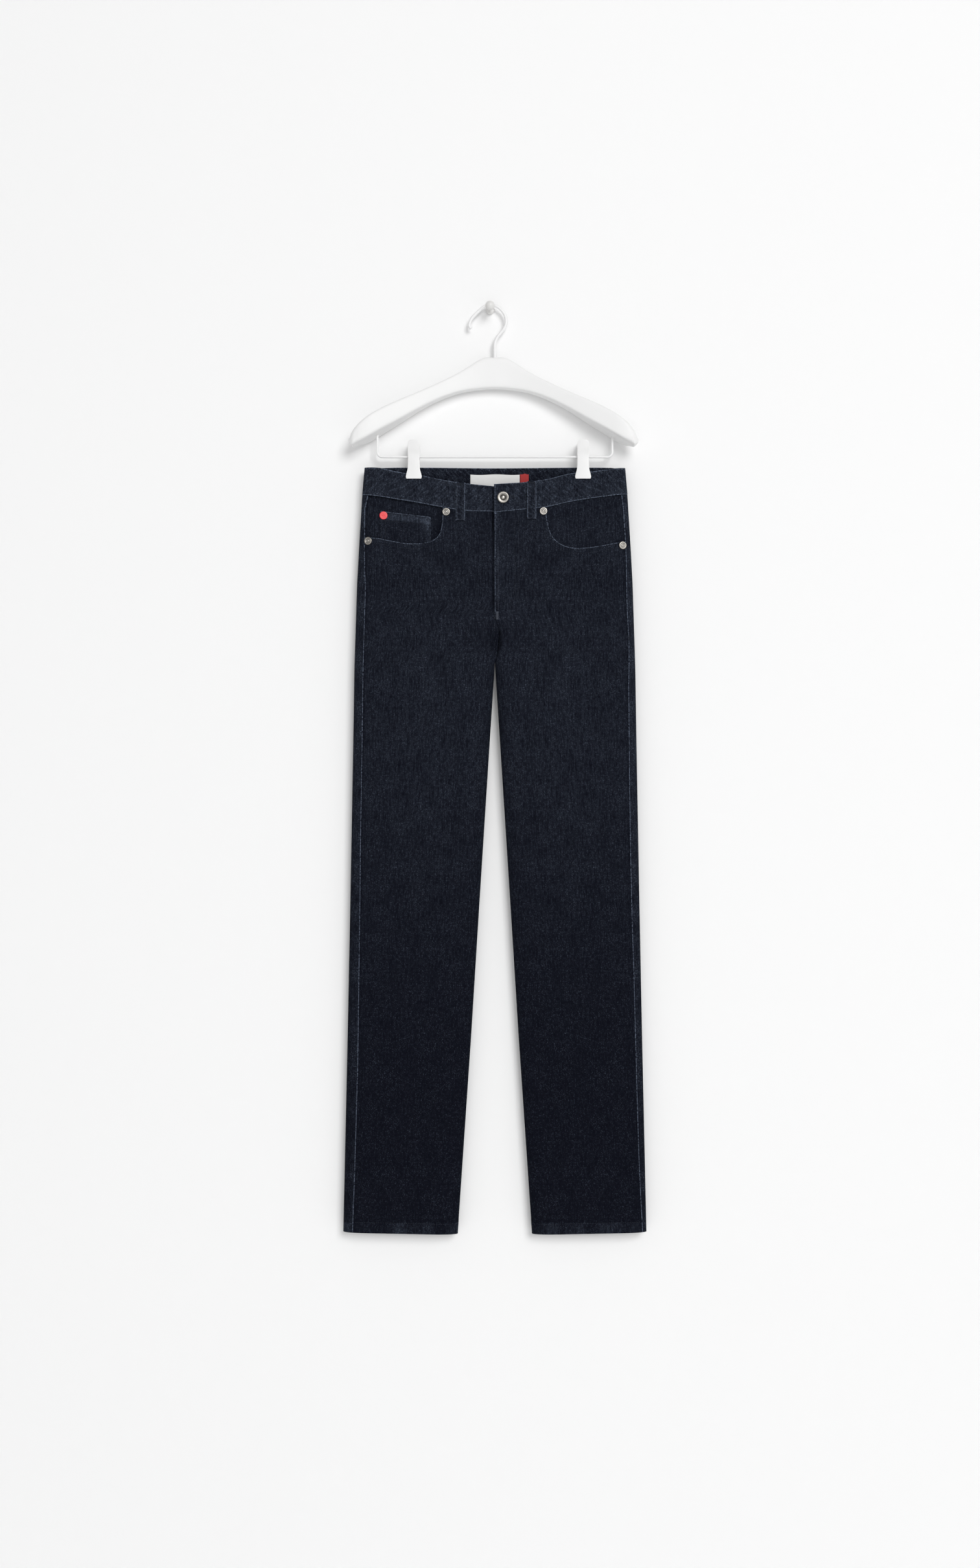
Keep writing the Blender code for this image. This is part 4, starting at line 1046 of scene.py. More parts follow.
def front_piece(side, sign):
    def edge(x, y, z):
        mouth = distance_to(MOUTHS[side], x, z)
        fly = np.where((z > FLY_CLOSE) & (side == "left"), np.abs(x - read(CENTRE_LINE, z, "x") - 1.8), FAR)
        return np.minimum.reduce([mouth, fly, np.abs(band_edge(x, side, "bottom") - z) * 2.0])

    return denim_piece(f"front_{side}", front_points(side, sign), (0, FRONT, 0), edge, front_fade_and_painted_shade,
                       cut=mouth_cutter(side, sign))


def back_edge(x, y, z):
    """The worn line of the back's side seam, which shows on the front."""
    seam = np.where(y < 0.0, seam_distance(x, z) * 0.6, FAR)
    return np.minimum(seam, np.abs(back_top(x) - z) + FAR * (y < 0.0))


def back_fade_and_painted_shade(x, y, z):
    seat = 0.22 * bump_at(np.abs(x), z, 95.0, -230.0, 60.0, 90.0)
    # On the front the wrap strip takes the front's fading, with its painted shade.
    return np.where(y < 0.0, front_fade_and_painted_shade(x, y, z) + 0.12, 0.42 + seat - 0.10 * ease((-700.0 - z) / 200.0))


def back_piece(side, sign):
    """A back: a few rows that level out below the yoke, and the leg's own rows."""
    top, first = -85.0, -138.0
    heights = [(mix(top, first, share),
                lambda x, faces, share=share: mix(back_top(x) - GAP / 2.0, first, share))
               for share in np.linspace(0.0, 1.0, 13)[:-1]]
    heights += [(level, lambda x, faces, level=level: np.full(len(x), level))
                for level in (first, *LEVELS[LEVELS < first])]
    return denim_piece(f"back_{side}", wrapped_points(sign, heights), (0, BACK, 0), back_edge, back_fade_and_painted_shade)


def yoke_piece(side, sign):
    top, bottom = -40.0, -80.0
    heights = [(mix(top, bottom, share),
                lambda x, faces, share=share: mix(back_band_bottom(x, faces, side) - GAP,
                                                  back_top(x) + GAP / 2.0, share))
               for share in np.linspace(0.0, 1.0, 15)]
    return denim_piece(f"yoke_{side}", wrapped_points(sign, heights), (0, BACK, 0), back_edge, back_fade_and_painted_shade)


def hem_piece(side, sign):
    """The turned-up cloth inside a hem."""
    inset = DENIM + 0.6
    rows = []
    for level in np.linspace(HEM_Z + HEM_HEIGHT, HEM_Z, 5):
        turn = quarter(float(read(SECTIONS, level, "edge")) - inset, 8)
        near = float(inner_edge(level)) + inset + turn
        far = float(outer_edge(level)) - inset - turn[::-1]
        across = np.concatenate([near, np.linspace(near[-1], far[0], 12)[1:-1], far])
        x = sign * np.concatenate([across, across[::-1], across[:1]])
        faces = np.repeat([FRONT, BACK, FRONT], [len(across), len(across), 1])
        z = np.full(len(x), level)
        rows.append(np.stack([x, skin_on(x, z, faces, inset), z + hem_sag(x, z)], axis=-1))
    declare(*denim_piece(f"hem_{side}", np.array(rows), (sign, 0, 0),
                         lambda x, y, z: np.abs(z - HEM_Z) + 2.0, lambda x, y, z: 0.5, ring=True))


def band_points(side, sign):
    """The grid of a front piece of the waistband, which ends on the back, a little past the side edge."""
    count = FRONT_COLUMNS + ROUND_END + 1
    faces = np.where(np.arange(count) < FRONT_COLUMNS + TURN_COLUMNS - 1, FRONT, BACK)

    def across(level):
        level = np.broadcast_to(level, count)
        round_side = back_across(sign, np.resize(level[FRONT_COLUMNS:], BACK_COLUMNS))[0][1:ROUND_END]
        behind = level[-2:]
        end = outer_edge(behind) - mix(read(SECTIONS, behind, "edge"), BAND_END, np.array([0.5, 1.0]))
        return np.concatenate([front_across(side, sign, level[:FRONT_COLUMNS]), round_side, sign * end])

    def height(x, share):
        raised = band_edge(x, side, "top") + 1.4 * ease((np.abs(x) - 125.0) / 35.0)
        past_side = ease((outer_edge(-10.0) - np.abs(x)) / BAND_END)
        top = np.where(faces == BACK, mix(raised, BACK_BAND_TOP, past_side), raised)
        return mix(top, back_band_bottom(x, faces, side), share)

    rows = []
    for share in np.concatenate([[0.0, 0.02, 0.06], np.linspace(0.12, 0.88, 11), [0.94, 0.98, 1.0]]):
        x, z = settle(across, lambda x: height(x, share), mix(0.0, BACK_BAND_BOTTOM, share))
        lift = np.where(faces == FRONT, band_lift(side, x), BAND_PROUD)
        rows.append(np.stack([x, skin_on(x, z, faces, -lift), z], axis=-1))
    return np.array(rows)


def band_piece(side, sign):
    def edge(x, y, z):
        top, bottom = band_edge(x, side, "top"), band_edge(x, side, "bottom")
        end = np.where(side == "left", np.abs(x - front_start(side, sign, -20.0) - 1.4), FAR)
        return np.minimum.reduce([np.abs(top - z), np.abs(z - bottom), end])

    def fade_and_painted_shade(x, y, z):
        # Painted shade in the fly's groove on the right band.
        return 0.58 * (1.0 - 0.9 * fly_groove(x, z) * (side == "right"))

    return denim_piece(f"waistband_{side}", band_points(side, sign), (0, FRONT, 0), edge, fade_and_painted_shade,
                       BAND_THICKNESS, "denim_band", bevel=0.7)


def band_back_piece():
    rows = []
    for share in np.concatenate([[0.0, 0.05], np.linspace(0.12, 0.88, 9), [0.95, 1.0]]):
        end = outer_edge(mix(0.0, BACK_BAND_BOTTOM, share)) - BAND_END - GAP
        x = np.linspace(-1.0, 1.0, 71) * end
        bottom = np.where(x > 0, back_band_bottom(x, BACK, "left"), back_band_bottom(x, BACK, "right"))
        z = mix(BACK_BAND_TOP, bottom, share)
        rows.append(on_skin(x, z, BACK, -BAND_PROUD))
    # The inner face, towards the front, is much darker: painted shade inside the waist.
    return denim_piece("waistband_back", np.array(rows), (0, BACK, 0),
                       lambda x, y, z: np.minimum(np.abs(BACK_BAND_TOP - z), np.abs(z - BACK_BAND_BOTTOM)),
                       lambda x, y, z: np.where(y < skin(x, z, BACK) - 1.0, 0.12, 0.55),
                       BAND_THICKNESS, "denim_band", bevel=0.7)


def facing_piece(side, sign):
    """The denim that shows in a front pocket's mouth."""
    past_seam, edge_room = 5.0, 4.4
    rows = []
    for share in np.linspace(0.0, 1.0, 26):
        level = mix(FACING_TOP, FACING_BOTTOM, share)
        seam = float(seam_inset(sign, level))
        outer = float(outer_edge(level)) - seam + min(past_seam, seam - edge_room)
        x = sign * np.linspace(FACING_INNER, outer, 30)
        z = mix(band_edge(x, side, "bottom") + 4.0, FACING_BOTTOM, share)
        hollow = 3.0 * bump_at(x, z, -81.0, -88.0, 9.0, 18.0) if side == "right" else 0.0
        under = FACING_INSET[side] + hollow + 0.7 * ease((z - band_edge(x, side, "bottom") + 3.0) / 3.0)
        rows.append(on_skin(x, z, FRONT, under))

    def fade_and_painted_shade(x, y, z):
        reach = 6.0
        # Painted shade under the mouth's edge; the bump below paints a shadow deep in the right pocket's
        # mouth.
        painted_shade_by_mouth = 0.15 * ease((reach - distance_to(MOUTHS[side], x, z)) / reach)
        return 0.50 - painted_shade_by_mouth - 0.45 * bump_at(x, z, -79.0, -90.0, 11.0, 20.0)

    def edge(x, y, z):
        return np.abs(band_edge(x, side, "bottom") - z) * 2.0 + 1.0

    return denim_piece(f"pocket_facing_{side}", np.array(rows), (0, FRONT, 0), edge, fade_and_painted_shade, DENIM - 0.1)


def coin_top(across):
    return mix(COIN_POCKET["top_inner"], COIN_POCKET["top_outer"], across)


def coin_point(across, down):
    """A place on the coin pocket, by shares across and down."""
    x = mix(COIN_POCKET["inner"], COIN_POCKET["outer"], across)
    return x, mix(coin_top(across), COIN_POCKET["bottom"], down)


def coin_piece():
    inner, outer = COIN_POCKET["inner"], COIN_POCKET["outer"]
    across, down = np.meshgrid(np.linspace(0.0, 1.0, 25), np.linspace(0.0, 1.0, 21))
    x, z = coin_point(across, down)
    hem = 0.35 * ease((0.22 - down) / 0.05)

    def below_top(x, z):
        return coin_top((x - inner) / (outer - inner)) - z

    def edge(x, y, z):
        return np.minimum.reduce([np.abs(below_top(x, z)), np.abs(x - inner) + 0.5, np.abs(x - outer) + 1.0])

    def fade_and_painted_shade(x, y, z):
        worn_band = ease((below_top(x, z) - 1.5) / 1.5) * ease((11.5 - below_top(x, z)) / 2.5)
        return 0.38 + 1.3 * worn_band + 1.5 * bump_at(x, z, -95.0, -76.0, 4.0, 12.0)

    return denim_piece("coin_pocket", on_skin(x, z, FRONT, COIN_INSET, -hem), (0, FRONT, 0), edge, fade_and_painted_shade,
                       thickness=1.0, bevel=0.3)


def back_pocket_point(sign, across, down):
    """A place on a five-sided pocket, by shares across and down."""
    size = BACK_POCKET
    narrow = size["taper"] * down
    x = mix(size["inner"] + narrow, size["outer"] - narrow, across)
    middle = 1.0 - np.abs(2.0 * across - 1.0)
    z = mix(size["top_inner"], size["top_outer"], across) - down * mix(size["side"], size["point"], middle)
    return sign * x, z


def back_pocket_piece(side, sign):
    across, down = np.meshgrid(np.linspace(0.0, 1.0, 33), np.linspace(0.0, 1.0, 37))
    x, z = back_pocket_point(sign, across, down)
    puff = 0.9 * np.sin(math.pi * across) * np.sin(math.pi * np.clip(down, 0.0, 1.0)) ** 0.5
    points = on_skin(x, z, BACK, -(ON_CLOTH + DENIM), puff)
    corners = [tuple(map(float, back_pocket_point(sign, *shares)))
               for shares in ((0, 0), (1, 0), (1, 1), (0.5, 1), (0, 1), (0, 0))]
    return denim_piece(f"back_pocket_{side}", points, (0, BACK, 0),
                       lambda x, y, z: distance_to(corners, x, z), lambda x, y, z: 0.55, bevel=0.35)


def loop_heights(x, face):
    """How a belt loop stands off the cloth, from its top to its tail."""
    side = "right" if x < 0 else "left"
    top, bottom = BACK_BAND_TOP, BACK_BAND_BOTTOM
    if face == FRONT:
        top, bottom = float(band_edge(x, side, "top")), float(band_edge(x, side, "bottom"))
    stand = LOOP_THICKNESS + ON_CLOTH
    over_band = ((top, 0.0), (top - 4.0, 0.2), (top - 11.0, 1.2), (mix(top, bottom, 0.55), 1.6),
                 (bottom + 7.0, 1.1), (bottom + 0.5, 0.3))
    below_band = (bottom - 5.0, bottom - LOOP_TAIL)
    return [(z, stand + BAND_PROUD + out) for z, out in over_band] + [(z, stand + 0.1) for z in below_band]


def loop_lift(x, face):
    """The loop's outer surface over the cloth's, as a function of height."""
    path = np.array(smoothed(loop_heights(x, face), 4))[::-1]
    return lambda z: np.interp(z, path[:, 0], path[:, 1])


def belt_loop_piece(name, x, face):
    share = np.linspace(-1.0, 1.0, 13)
    across = x + share * LOOP_WIDTH / 2.0
    crown = 0.25 * np.exp(-((np.abs(share) - 0.45) / 0.22) ** 2)
    rows = []
    for z, height in smoothed(loop_heights(x, face), 4):
        rows.append(on_skin(across, np.full(len(share), z), face, -(height + crown)))
    return denim_piece(name, np.array(rows), (0, face, 0),
                       lambda px, y, z: LOOP_WIDTH / 2.0 - np.abs(px - x), lambda px, y, z: 0.26,
                       LOOP_THICKNESS, "denim_band", bevel=0.45)


def tape_piece(node, size, material):
    """A woven tape inside the back of the waistband."""
    inset = BAND_THICKNESS - BAND_PROUD + ON_CLOTH
    across, down = np.meshgrid(np.linspace(0.0, 1.0, 25), np.linspace(0.0, 1.0, 11))
    x = mix(size["x0"], size["x1"], across)
    z = mix(size["top"], size["bottom"], down) - 0.5 * np.sin(across * 9.0) * (1.0 - down)
    points = on_skin(x, z, BACK, inset)
    piece = cloth(f"{node}_tape", points, (0, FRONT, 0), thickness=0.5, bevel=0.12)
    hand_over(piece, material, node)
    declare(piece, points)


# Stitching

# The spacing and half the length of each kind of stitch; a run's follow from the user's settings
STITCH_KINDS = {"dots": (2.0, 0.55), "tack": (0.62, 1.15), "bar": (0.62, 2.1), "fine": (0.75, 1.1)}

# A stitch's height as a share of its width, how far it stands out, and how much its length varies
STITCH_HEIGHT, STITCH_LIFT, STITCH_CHANCE = 0.8, 0.10, 0.08

# How far rows lie from the edges that they follow, and a second row from the first
MOUTH_ROWS = (1.3, 7.2)
BAND_ROWS = {"top": -1.6, "bottom": 1.3}
POCKET_ROWS = (1.6, 7.0)
POCKET_HEM_ROWS = (2.0, 12.5)
COIN_HEM_ROWS = (1.5, 12.5)
SECOND_FLY_ROW = SECOND_SEAT_ROW = 5.2
SECOND_YOKE_ROW = 5.4


def seam_path(sign, top, bottom, offset):
    """Down the side seam, at an offset towards the side edge."""
    return [(sign * float(outer_edge(z) - seam_inset(sign, z) + offset), float(z))
            for z in np.linspace(top, bottom, 60)]


def hem_path(sign, short_of_edge):
    """Along the hem's stitching, from the inner leg to a distance from the side edge."""
    drop = float(hem_sag(inner_edge(HEM_Z), HEM_Z))
    inner, outer = float(inner_edge(HEM_STITCH_Z)), float(outer_edge(HEM_STITCH_Z))
    return [(sign * (inner + 3.0), HEM_STITCH_Z + drop), (sign * (outer - short_of_edge), HEM_STITCH_Z)]


def rows_on(face, lift, *paths, kind="run"):
    """Rows of stitches along paths on a face, on a surface that stands out from it by a lift."""
    return [(path, face, lift, kind) for path in paths]


def evenly(height):
    """A lift that is the same everywhere."""
    return lambda x, z: height


def offset_path(path, offset):
    """A path moved sideways by an offset, to the left of its direction."""
    places = np.array(path, float)
    ahead = np.gradient(places, axis=0)
    ahead /= np.linalg.norm(ahead, axis=1)[:, None]
    return [tuple(p) for p in places + offset * np.stack([-ahead[:, 1], ahead[:, 0]], axis=-1)]


def spaced(path, spacing):
    """Evenly spaced places on a path, with their directions."""
    places = np.array(path, float)
    steps = np.linalg.norm(np.diff(places, axis=0), axis=1)
    run = np.concatenate([[0.0], np.cumsum(steps)])
    count = max(int(run[-1] / spacing), 1)
    at = (np.arange(count) + 0.5) * run[-1] / count
    found = np.stack([np.interp(at, run, places[:, k]) for k in (0, 1)], axis=-1)
    ahead = np.stack([np.interp(at + 0.4, run, places[:, k]) - np.interp(at - 0.4, run, places[:, k])
                      for k in (0, 1)], axis=-1)
    return found, ahead / np.linalg.norm(ahead, axis=1)[:, None]


def stitch_frames(path, face, lift, spacing, across=False):
    """Places and axes of stitches along a path on a surface, which stands out from the cloth by a lift."""
    found, ahead = spaced(path, spacing)
    if across:
        ahead = np.stack([-ahead[:, 1], ahead[:, 0]], axis=-1)

    def depth(x, z):
        return skin(x, z, face) + face * lift(x, z)

    x, z = found.T
    slope_x = (depth(x + 0.5, z) - depth(x - 0.5, z))
    slope_z = (depth(x, z + 0.5) - depth(x, z - 0.5))
    outward = face * np.stack([-slope_x, np.ones(len(x)), -slope_z], axis=-1)
    outward /= np.linalg.norm(outward, axis=1)[:, None]
    along = np.stack([ahead[:, 0], ahead[:, 0] * slope_x + ahead[:, 1] * slope_z, ahead[:, 1]], axis=-1)
    along /= np.linalg.norm(along, axis=1)[:, None]
    return np.stack([x, depth(x, z), z], axis=-1), along, np.cross(outward, along), outward


def stitch_shape():
    """One stitch: a low, long bead."""
    deselect()
    bpy.ops.mesh.primitive_uv_sphere_add(segments=6, ring_count=4, radius=1.0)
    bead = active("stitch")
    edit(bead, (bpy.ops.transform.rotate, {"value": math.pi / 2.0, "orient_axis": "Y",
                                           "center_override": (0.0, 0.0, 0.0)}))
    return bead


def sew(name, rows, material="thread"):
    """All the stitches of a group of rows, as one piece of copies of a stitch."""
    look = bpy.context.scene.jeans_stitches
    bead = stitch_shape()
    shape = np.array([vertex.co for vertex in bead.data.vertices])
    faces = [tuple(polygon.vertices) for polygon in bead.data.polygons]
    bpy.data.objects.remove(bead)
    chance = np.random.default_rng(7)
    pitch = look.spacing / MM
    points = []
    for path, face, lift, kind in rows:
        spacing, long = STITCH_KINDS.get(kind, (pitch, pitch * 0.40))
        wide = look.thickness / MM / 2.0 * (1.0 if kind == "run" else 0.85)
        across = kind not in ("run", "dots")
        centre, along, side, out = stitch_frames(path, face, lift, spacing, across)
        size = 1.0 + chance.uniform(-STITCH_CHANCE, STITCH_CHANCE, len(centre))
        local = (shape[None, :, 0, None] * (along * (long * size)[:, None])[:, None, :]
                 + shape[None, :, 1, None] * (side * wide)[:, None, :]
                 + shape[None, :, 2, None] * (out * wide * STITCH_HEIGHT)[:, None, :])
        points.append((centre[:, None, :] + out[:, None, :] * STITCH_LIFT + local).reshape(-1, 3))
    points = place(np.concatenate(points))
    faces = [tuple(start + v for v in face) for start in range(0, len(points), len(shape)) for face in faces]
    mesh = bpy.data.meshes.new(name)
    mesh.from_pydata(points.tolist(), [], faces)
    piece = bpy.data.objects.new(name, mesh)
    bpy.context.scene.collection.objects.link(piece)
    return hand_over(piece, material, smooth=180.0)


def front_rows(side, sign):
    def on_front(x, z):
        return front_lift(side, x, z)

    mouth = [p for p in MOUTHS[side] if abs(p[0]) < 176.0 and p[1] < -56.0]
    paths = [hem_path(sign, float(seam_inset(sign, HEM_STITCH_Z)) + 1.5),
             *(offset_path(mouth, -sign * away) for away in MOUTH_ROWS)]
    worn = rows_on(FRONT, on_front, [(-0.6, -210.0), (-0.9, -227.0)], kind="dots")
    if side == "left":
        fly = smoothed(FLY_STITCHES)
        paths += [fly, offset_path(fly, -SECOND_FLY_ROW), [(0.4, -66.0), (0.4, FLY_CLOSE)]]
        worn = (rows_on(FRONT, on_front, [(3.3, -200.0), (3.3, -211.0)], kind="bar")
                + rows_on(FRONT, on_front, [(4.4, -110.0), (4.4, -198.0)], kind="dots"))
    return rows_on(FRONT, on_front, *paths), worn


def back_rows(side, sign):
    def on_back(x, z):
        return hem_lift(z)

    yoke = [(sign * x, float(back_top(x)) - 1.6) for x in (3.0, 184.0)]
    centre = [(sign * 1.6, -109.0), (sign * 1.6, -262.0)]
    paths = [hem_path(sign, 2.0), yoke, [(x, z - SECOND_YOKE_ROW) for x, z in yoke], centre]
    if side == "left":
        paths.append([(x + SECOND_SEAT_ROW, z) for x, z in centre])
    tack = seam_path(sign, -232.5, -239.5, 0.6)
    return rows_on(FRONT, on_back, tack, kind="tack") + rows_on(BACK, on_back, *paths)


def band_rows(side, sign):
    def on_band(x, z):
        return band_lift(side, x)

    start = float(front_start(side, sign, -20.0))
    places = np.linspace(start + sign * 1.4, sign * 180.0, 60)
    paths = [[(float(x), float(band_edge(x, side, edge)) + drop) for x in places]
             for edge, drop in BAND_ROWS.items()]
    if side == "right":
        return rows_on(FRONT, on_band, *paths)
    slit = [(20.8, -40.0), (28.4, -40.0)]
    return (rows_on(FRONT, on_band, *paths, [(start + 1.4, -24.5), (start + 1.4, -60.0)])
            + rows_on(FRONT, on_band, offset_path(slit, 1.0), offset_path(slit, -1.0), kind="fine"))


def band_back_rows():
    heights = (BACK_BAND_TOP + BAND_ROWS["top"], BACK_BAND_BOTTOM + BAND_ROWS["bottom"])
    return rows_on(BACK, evenly(BAND_PROUD),
                   *([(float(x), height) for x in np.linspace(-156.0, 156.0, 60)] for height in heights))


def back_pocket_rows(sign):
    """Two rows round a back pocket, two across its hem, and a tack at each corner of its mouth."""
    over = ON_CLOTH + DENIM
    middle = np.array(back_pocket_point(sign, 0.5, 0.45), float)
    rows = []
    for inset in POCKET_ROWS:
        path = []
        for across, down in ((0, 0), (0, 1), (0.5, 1), (1, 1), (1, 0)):
            away = np.array(back_pocket_point(sign, across, down), float) - middle
            shrink = np.array([1.0 - inset / abs(away[0]) if abs(away[0]) > 20 else 1.0,
                               1.0 - inset / abs(away[1]) if away[1] < -20 else 1.0])
            path.append(tuple(middle + away * shrink))
        rows += rows_on(BACK, evenly(over + 0.15), path)
    ends = [tuple(map(float, back_pocket_point(sign, across, 0.0))) for across in (0.03, 0.97)]
    hems = ([(x, z - drop) for x, z in ends] for drop in POCKET_HEM_ROWS)
    tacks = ([(x, z - 0.5), (x, z - 8.0)] for x, z in ends)
    return (rows + rows_on(BACK, evenly(over + 0.35), *hems)
            + rows_on(BACK, evenly(over + 0.2), *tacks, kind="tack"))


def coin_rows():
    def spot(across, down, drop=0.0):
        x, z = coin_point(across, down)
        return float(x), float(z) - drop

    on_coin = evenly(0.25 - COIN_INSET)
    hems = ([spot(0.02, 0.0, drop), spot(0.98, 0.0, drop)] for drop in COIN_HEM_ROWS)
    sides = ([spot(across, 0.03), spot(across, 0.7)] for across in (0.02, 0.10, 0.90, 0.98))
    return (rows_on(FRONT, on_coin, *hems, *sides)
            + rows_on(FRONT, on_coin, [spot(0.06, 0.03), spot(0.06, 0.13)], kind="tack"))


def loop_rows(x, face):
    """The stitches of a belt loop, and its pale bar tacks and worn edges."""
    lift, path = loop_lift(x, face), loop_heights(x, face)
    top, tail = path[0][0], path[-1][0]

    def on_loop(px, z):
        return lift(z) + 0.22

    def level(left, right, z):
        return [(x + left, z), (x + right, z)]

    def upright(shift, gap):
        return [(x + shift, top - gap), (x + shift, tail + 1.0)]

    rows = (rows_on(face, on_loop, level(-5.6, 5.6, top - 2.2), kind="tack")
            + rows_on(face, on_loop, upright(1.0, 1.0)))
    edges = (upright(-4.2, 3.0), upright(4.2, 3.0), level(-5.4, 5.4, tail + 1.4))
    worn = (rows_on(face, on_loop, *edges, kind="dots")
            + rows_on(face, on_loop, level(-6.0, -5.0, tail + 1.6), level(5.0, 5.6, tail + 1.6), kind="tack"))
    return rows, worn


# Metal


def turned(name, profile, segments, patina_and_painted_light=((0.0, 1.0),)):
    """A round piece about Z, drawn up ring by ring from a circle through a profile of radius and height.

    The last argument is a table of how light the metal is at a radius: darker grooves, painted shade at the
    rims, and for the button a painted highlight on its dome.
    """
    deselect()
    radius, height = profile[0]
    bpy.ops.mesh.primitive_circle_add(vertices=segments, radius=radius * MM, location=(0.0, 0.0, height * MM),
                                      fill_type="NGON")
    piece = active(name)
    bpy.ops.object.transform_apply(location=True, rotation=True, scale=True)
    bpy.ops.object.mode_set(mode="EDIT")
    bpy.ops.mesh.select_mode(type="FACE")
    bpy.ops.mesh.select_all(action="SELECT")
    for (r0, h0), (r1, h1) in zip(profile, profile[1:]):
        bpy.ops.mesh.extrude_region_move(TRANSFORM_OT_translate={"value": (0.0, 0.0, (h1 - h0) * MM)})
        bpy.ops.transform.resize(value=(r1 / r0, r1 / r0, 1.0), center_override=(0.0, 0.0, h1 * MM))
    bpy.ops.mesh.select_all(action="SELECT")
    bpy.ops.mesh.remove_doubles(threshold=FINE_WELD)
    bpy.ops.mesh.normals_make_consistent(inside=False)
    bpy.ops.object.mode_set(mode="OBJECT")
    away = [math.hypot(vertex.co.x, vertex.co.y) / MM for vertex in piece.data.vertices]
    radii, values = zip(*patina_and_painted_light)
    layer = piece.data.attributes.new("patina_and_painted_light", "FLOAT", "POINT")
    layer.data.foreach_set("value", np.interp(away, radii, values).astype(np.float32))
    return piece


def seat_on(piece, x, z, face, height):
    """Stands a turned piece on the cloth, with its axis along the surface's outward direction."""
    reach = 2.0
    across = Vector((2 * reach, float(skin(x + reach, z, face) - skin(x - reach, z, face)), 0.0))
    down = Vector((0.0, float(skin(x, z - reach, face) - skin(x, z + reach, face)), -2 * reach))
    outward = across.cross(down).normalized()
    if outward.y * face < 0.0:
        outward.negate()
    foot = Vector((x, float(skin(x, z, face)), z)) + outward * height
    piece.rotation_mode = "QUATERNION"
    piece.rotation_quaternion = outward.to_track_quat("Z", "Y")
    piece.location = (foot + HELD) * MM
    choose(piece)
    bpy.ops.object.transform_apply(location=True, rotation=True, scale=True)


def button_piece():
    profile = [
        (2.2, 0.0), (2.4, 0.5), (6.4, 0.6), (7.7, 1.0), (8.15, 1.55), (8.2, 1.9), (7.95, 2.4), (7.4, 2.66),
        (6.8, 2.72), (6.2, 2.68), (5.4, 2.56), (4.6, 2.4), (4.0, 2.2), (3.7, 1.8), (3.5, 1.5), (3.2, 1.5),
        (3.0, 1.68), (2.7, 2.0), (2.3, 2.3), (1.9, 2.52), (1.3, 2.74), (0.7, 2.84), (0.15, 2.86),
    ]
    # A painted highlight on the dome, dark grooves, and painted shade at the rim.
    patina_and_painted_light = ((1.4, 1.7), (2.0, 1.0), (2.5, 0.25), (3.0, 0.08), (3.5, 0.10),
              (4.1, 0.42), (6.2, 0.55), (7.0, 0.62), (7.6, 0.4), (8.2, 0.12))
    piece = turned("button_metal", profile, 56, patina_and_painted_light)
    lap = (BAND_THICKNESS + GAP) / 2.0
    seat_on(piece, BUTTON["x"], BUTTON["z"], FRONT, BAND_PROUD + lap + ON_CLOTH)
    hand_over(piece, "antique_nickel", "button", smooth=60.0)


def rivet_piece(name, x, z, height, material, slot):
    profile = [
        (5.6, 0.0), (5.6, 0.5), (5.4, 0.95), (4.9, 1.25), (4.2, 1.32), (3.75, 1.24), (3.45, 1.0),
        (3.25, 0.86), (3.0, 0.92), (2.7, 1.06), (2.3, 1.1), (1.95, 1.0), (1.75, 0.82), (1.5, 0.86),
        (1.25, 1.2), (0.9, 1.42), (0.5, 1.5), (0.12, 1.52),
    ]
    tone = 1.0 if "inner" in name else 0.95
    # Dark grooves, and painted shade at the rim.
    patina_and_painted_light = ((0.9, tone), (1.3, 0.6 * tone), (1.7, 0.08), (2.0, 0.5 * tone), (2.6, tone), (3.0, 0.15),
              (3.3, 0.08), (3.7, 0.8 * tone), (4.6, tone), (5.0, 0.4), (5.3, 0.15))
    piece = turned(f"{name}_metal", profile, 40, patina_and_painted_light)
    seat_on(piece, x, z, FRONT, height)
    hand_over(piece, material, name, smooth=60.0)


# Hanger and peg


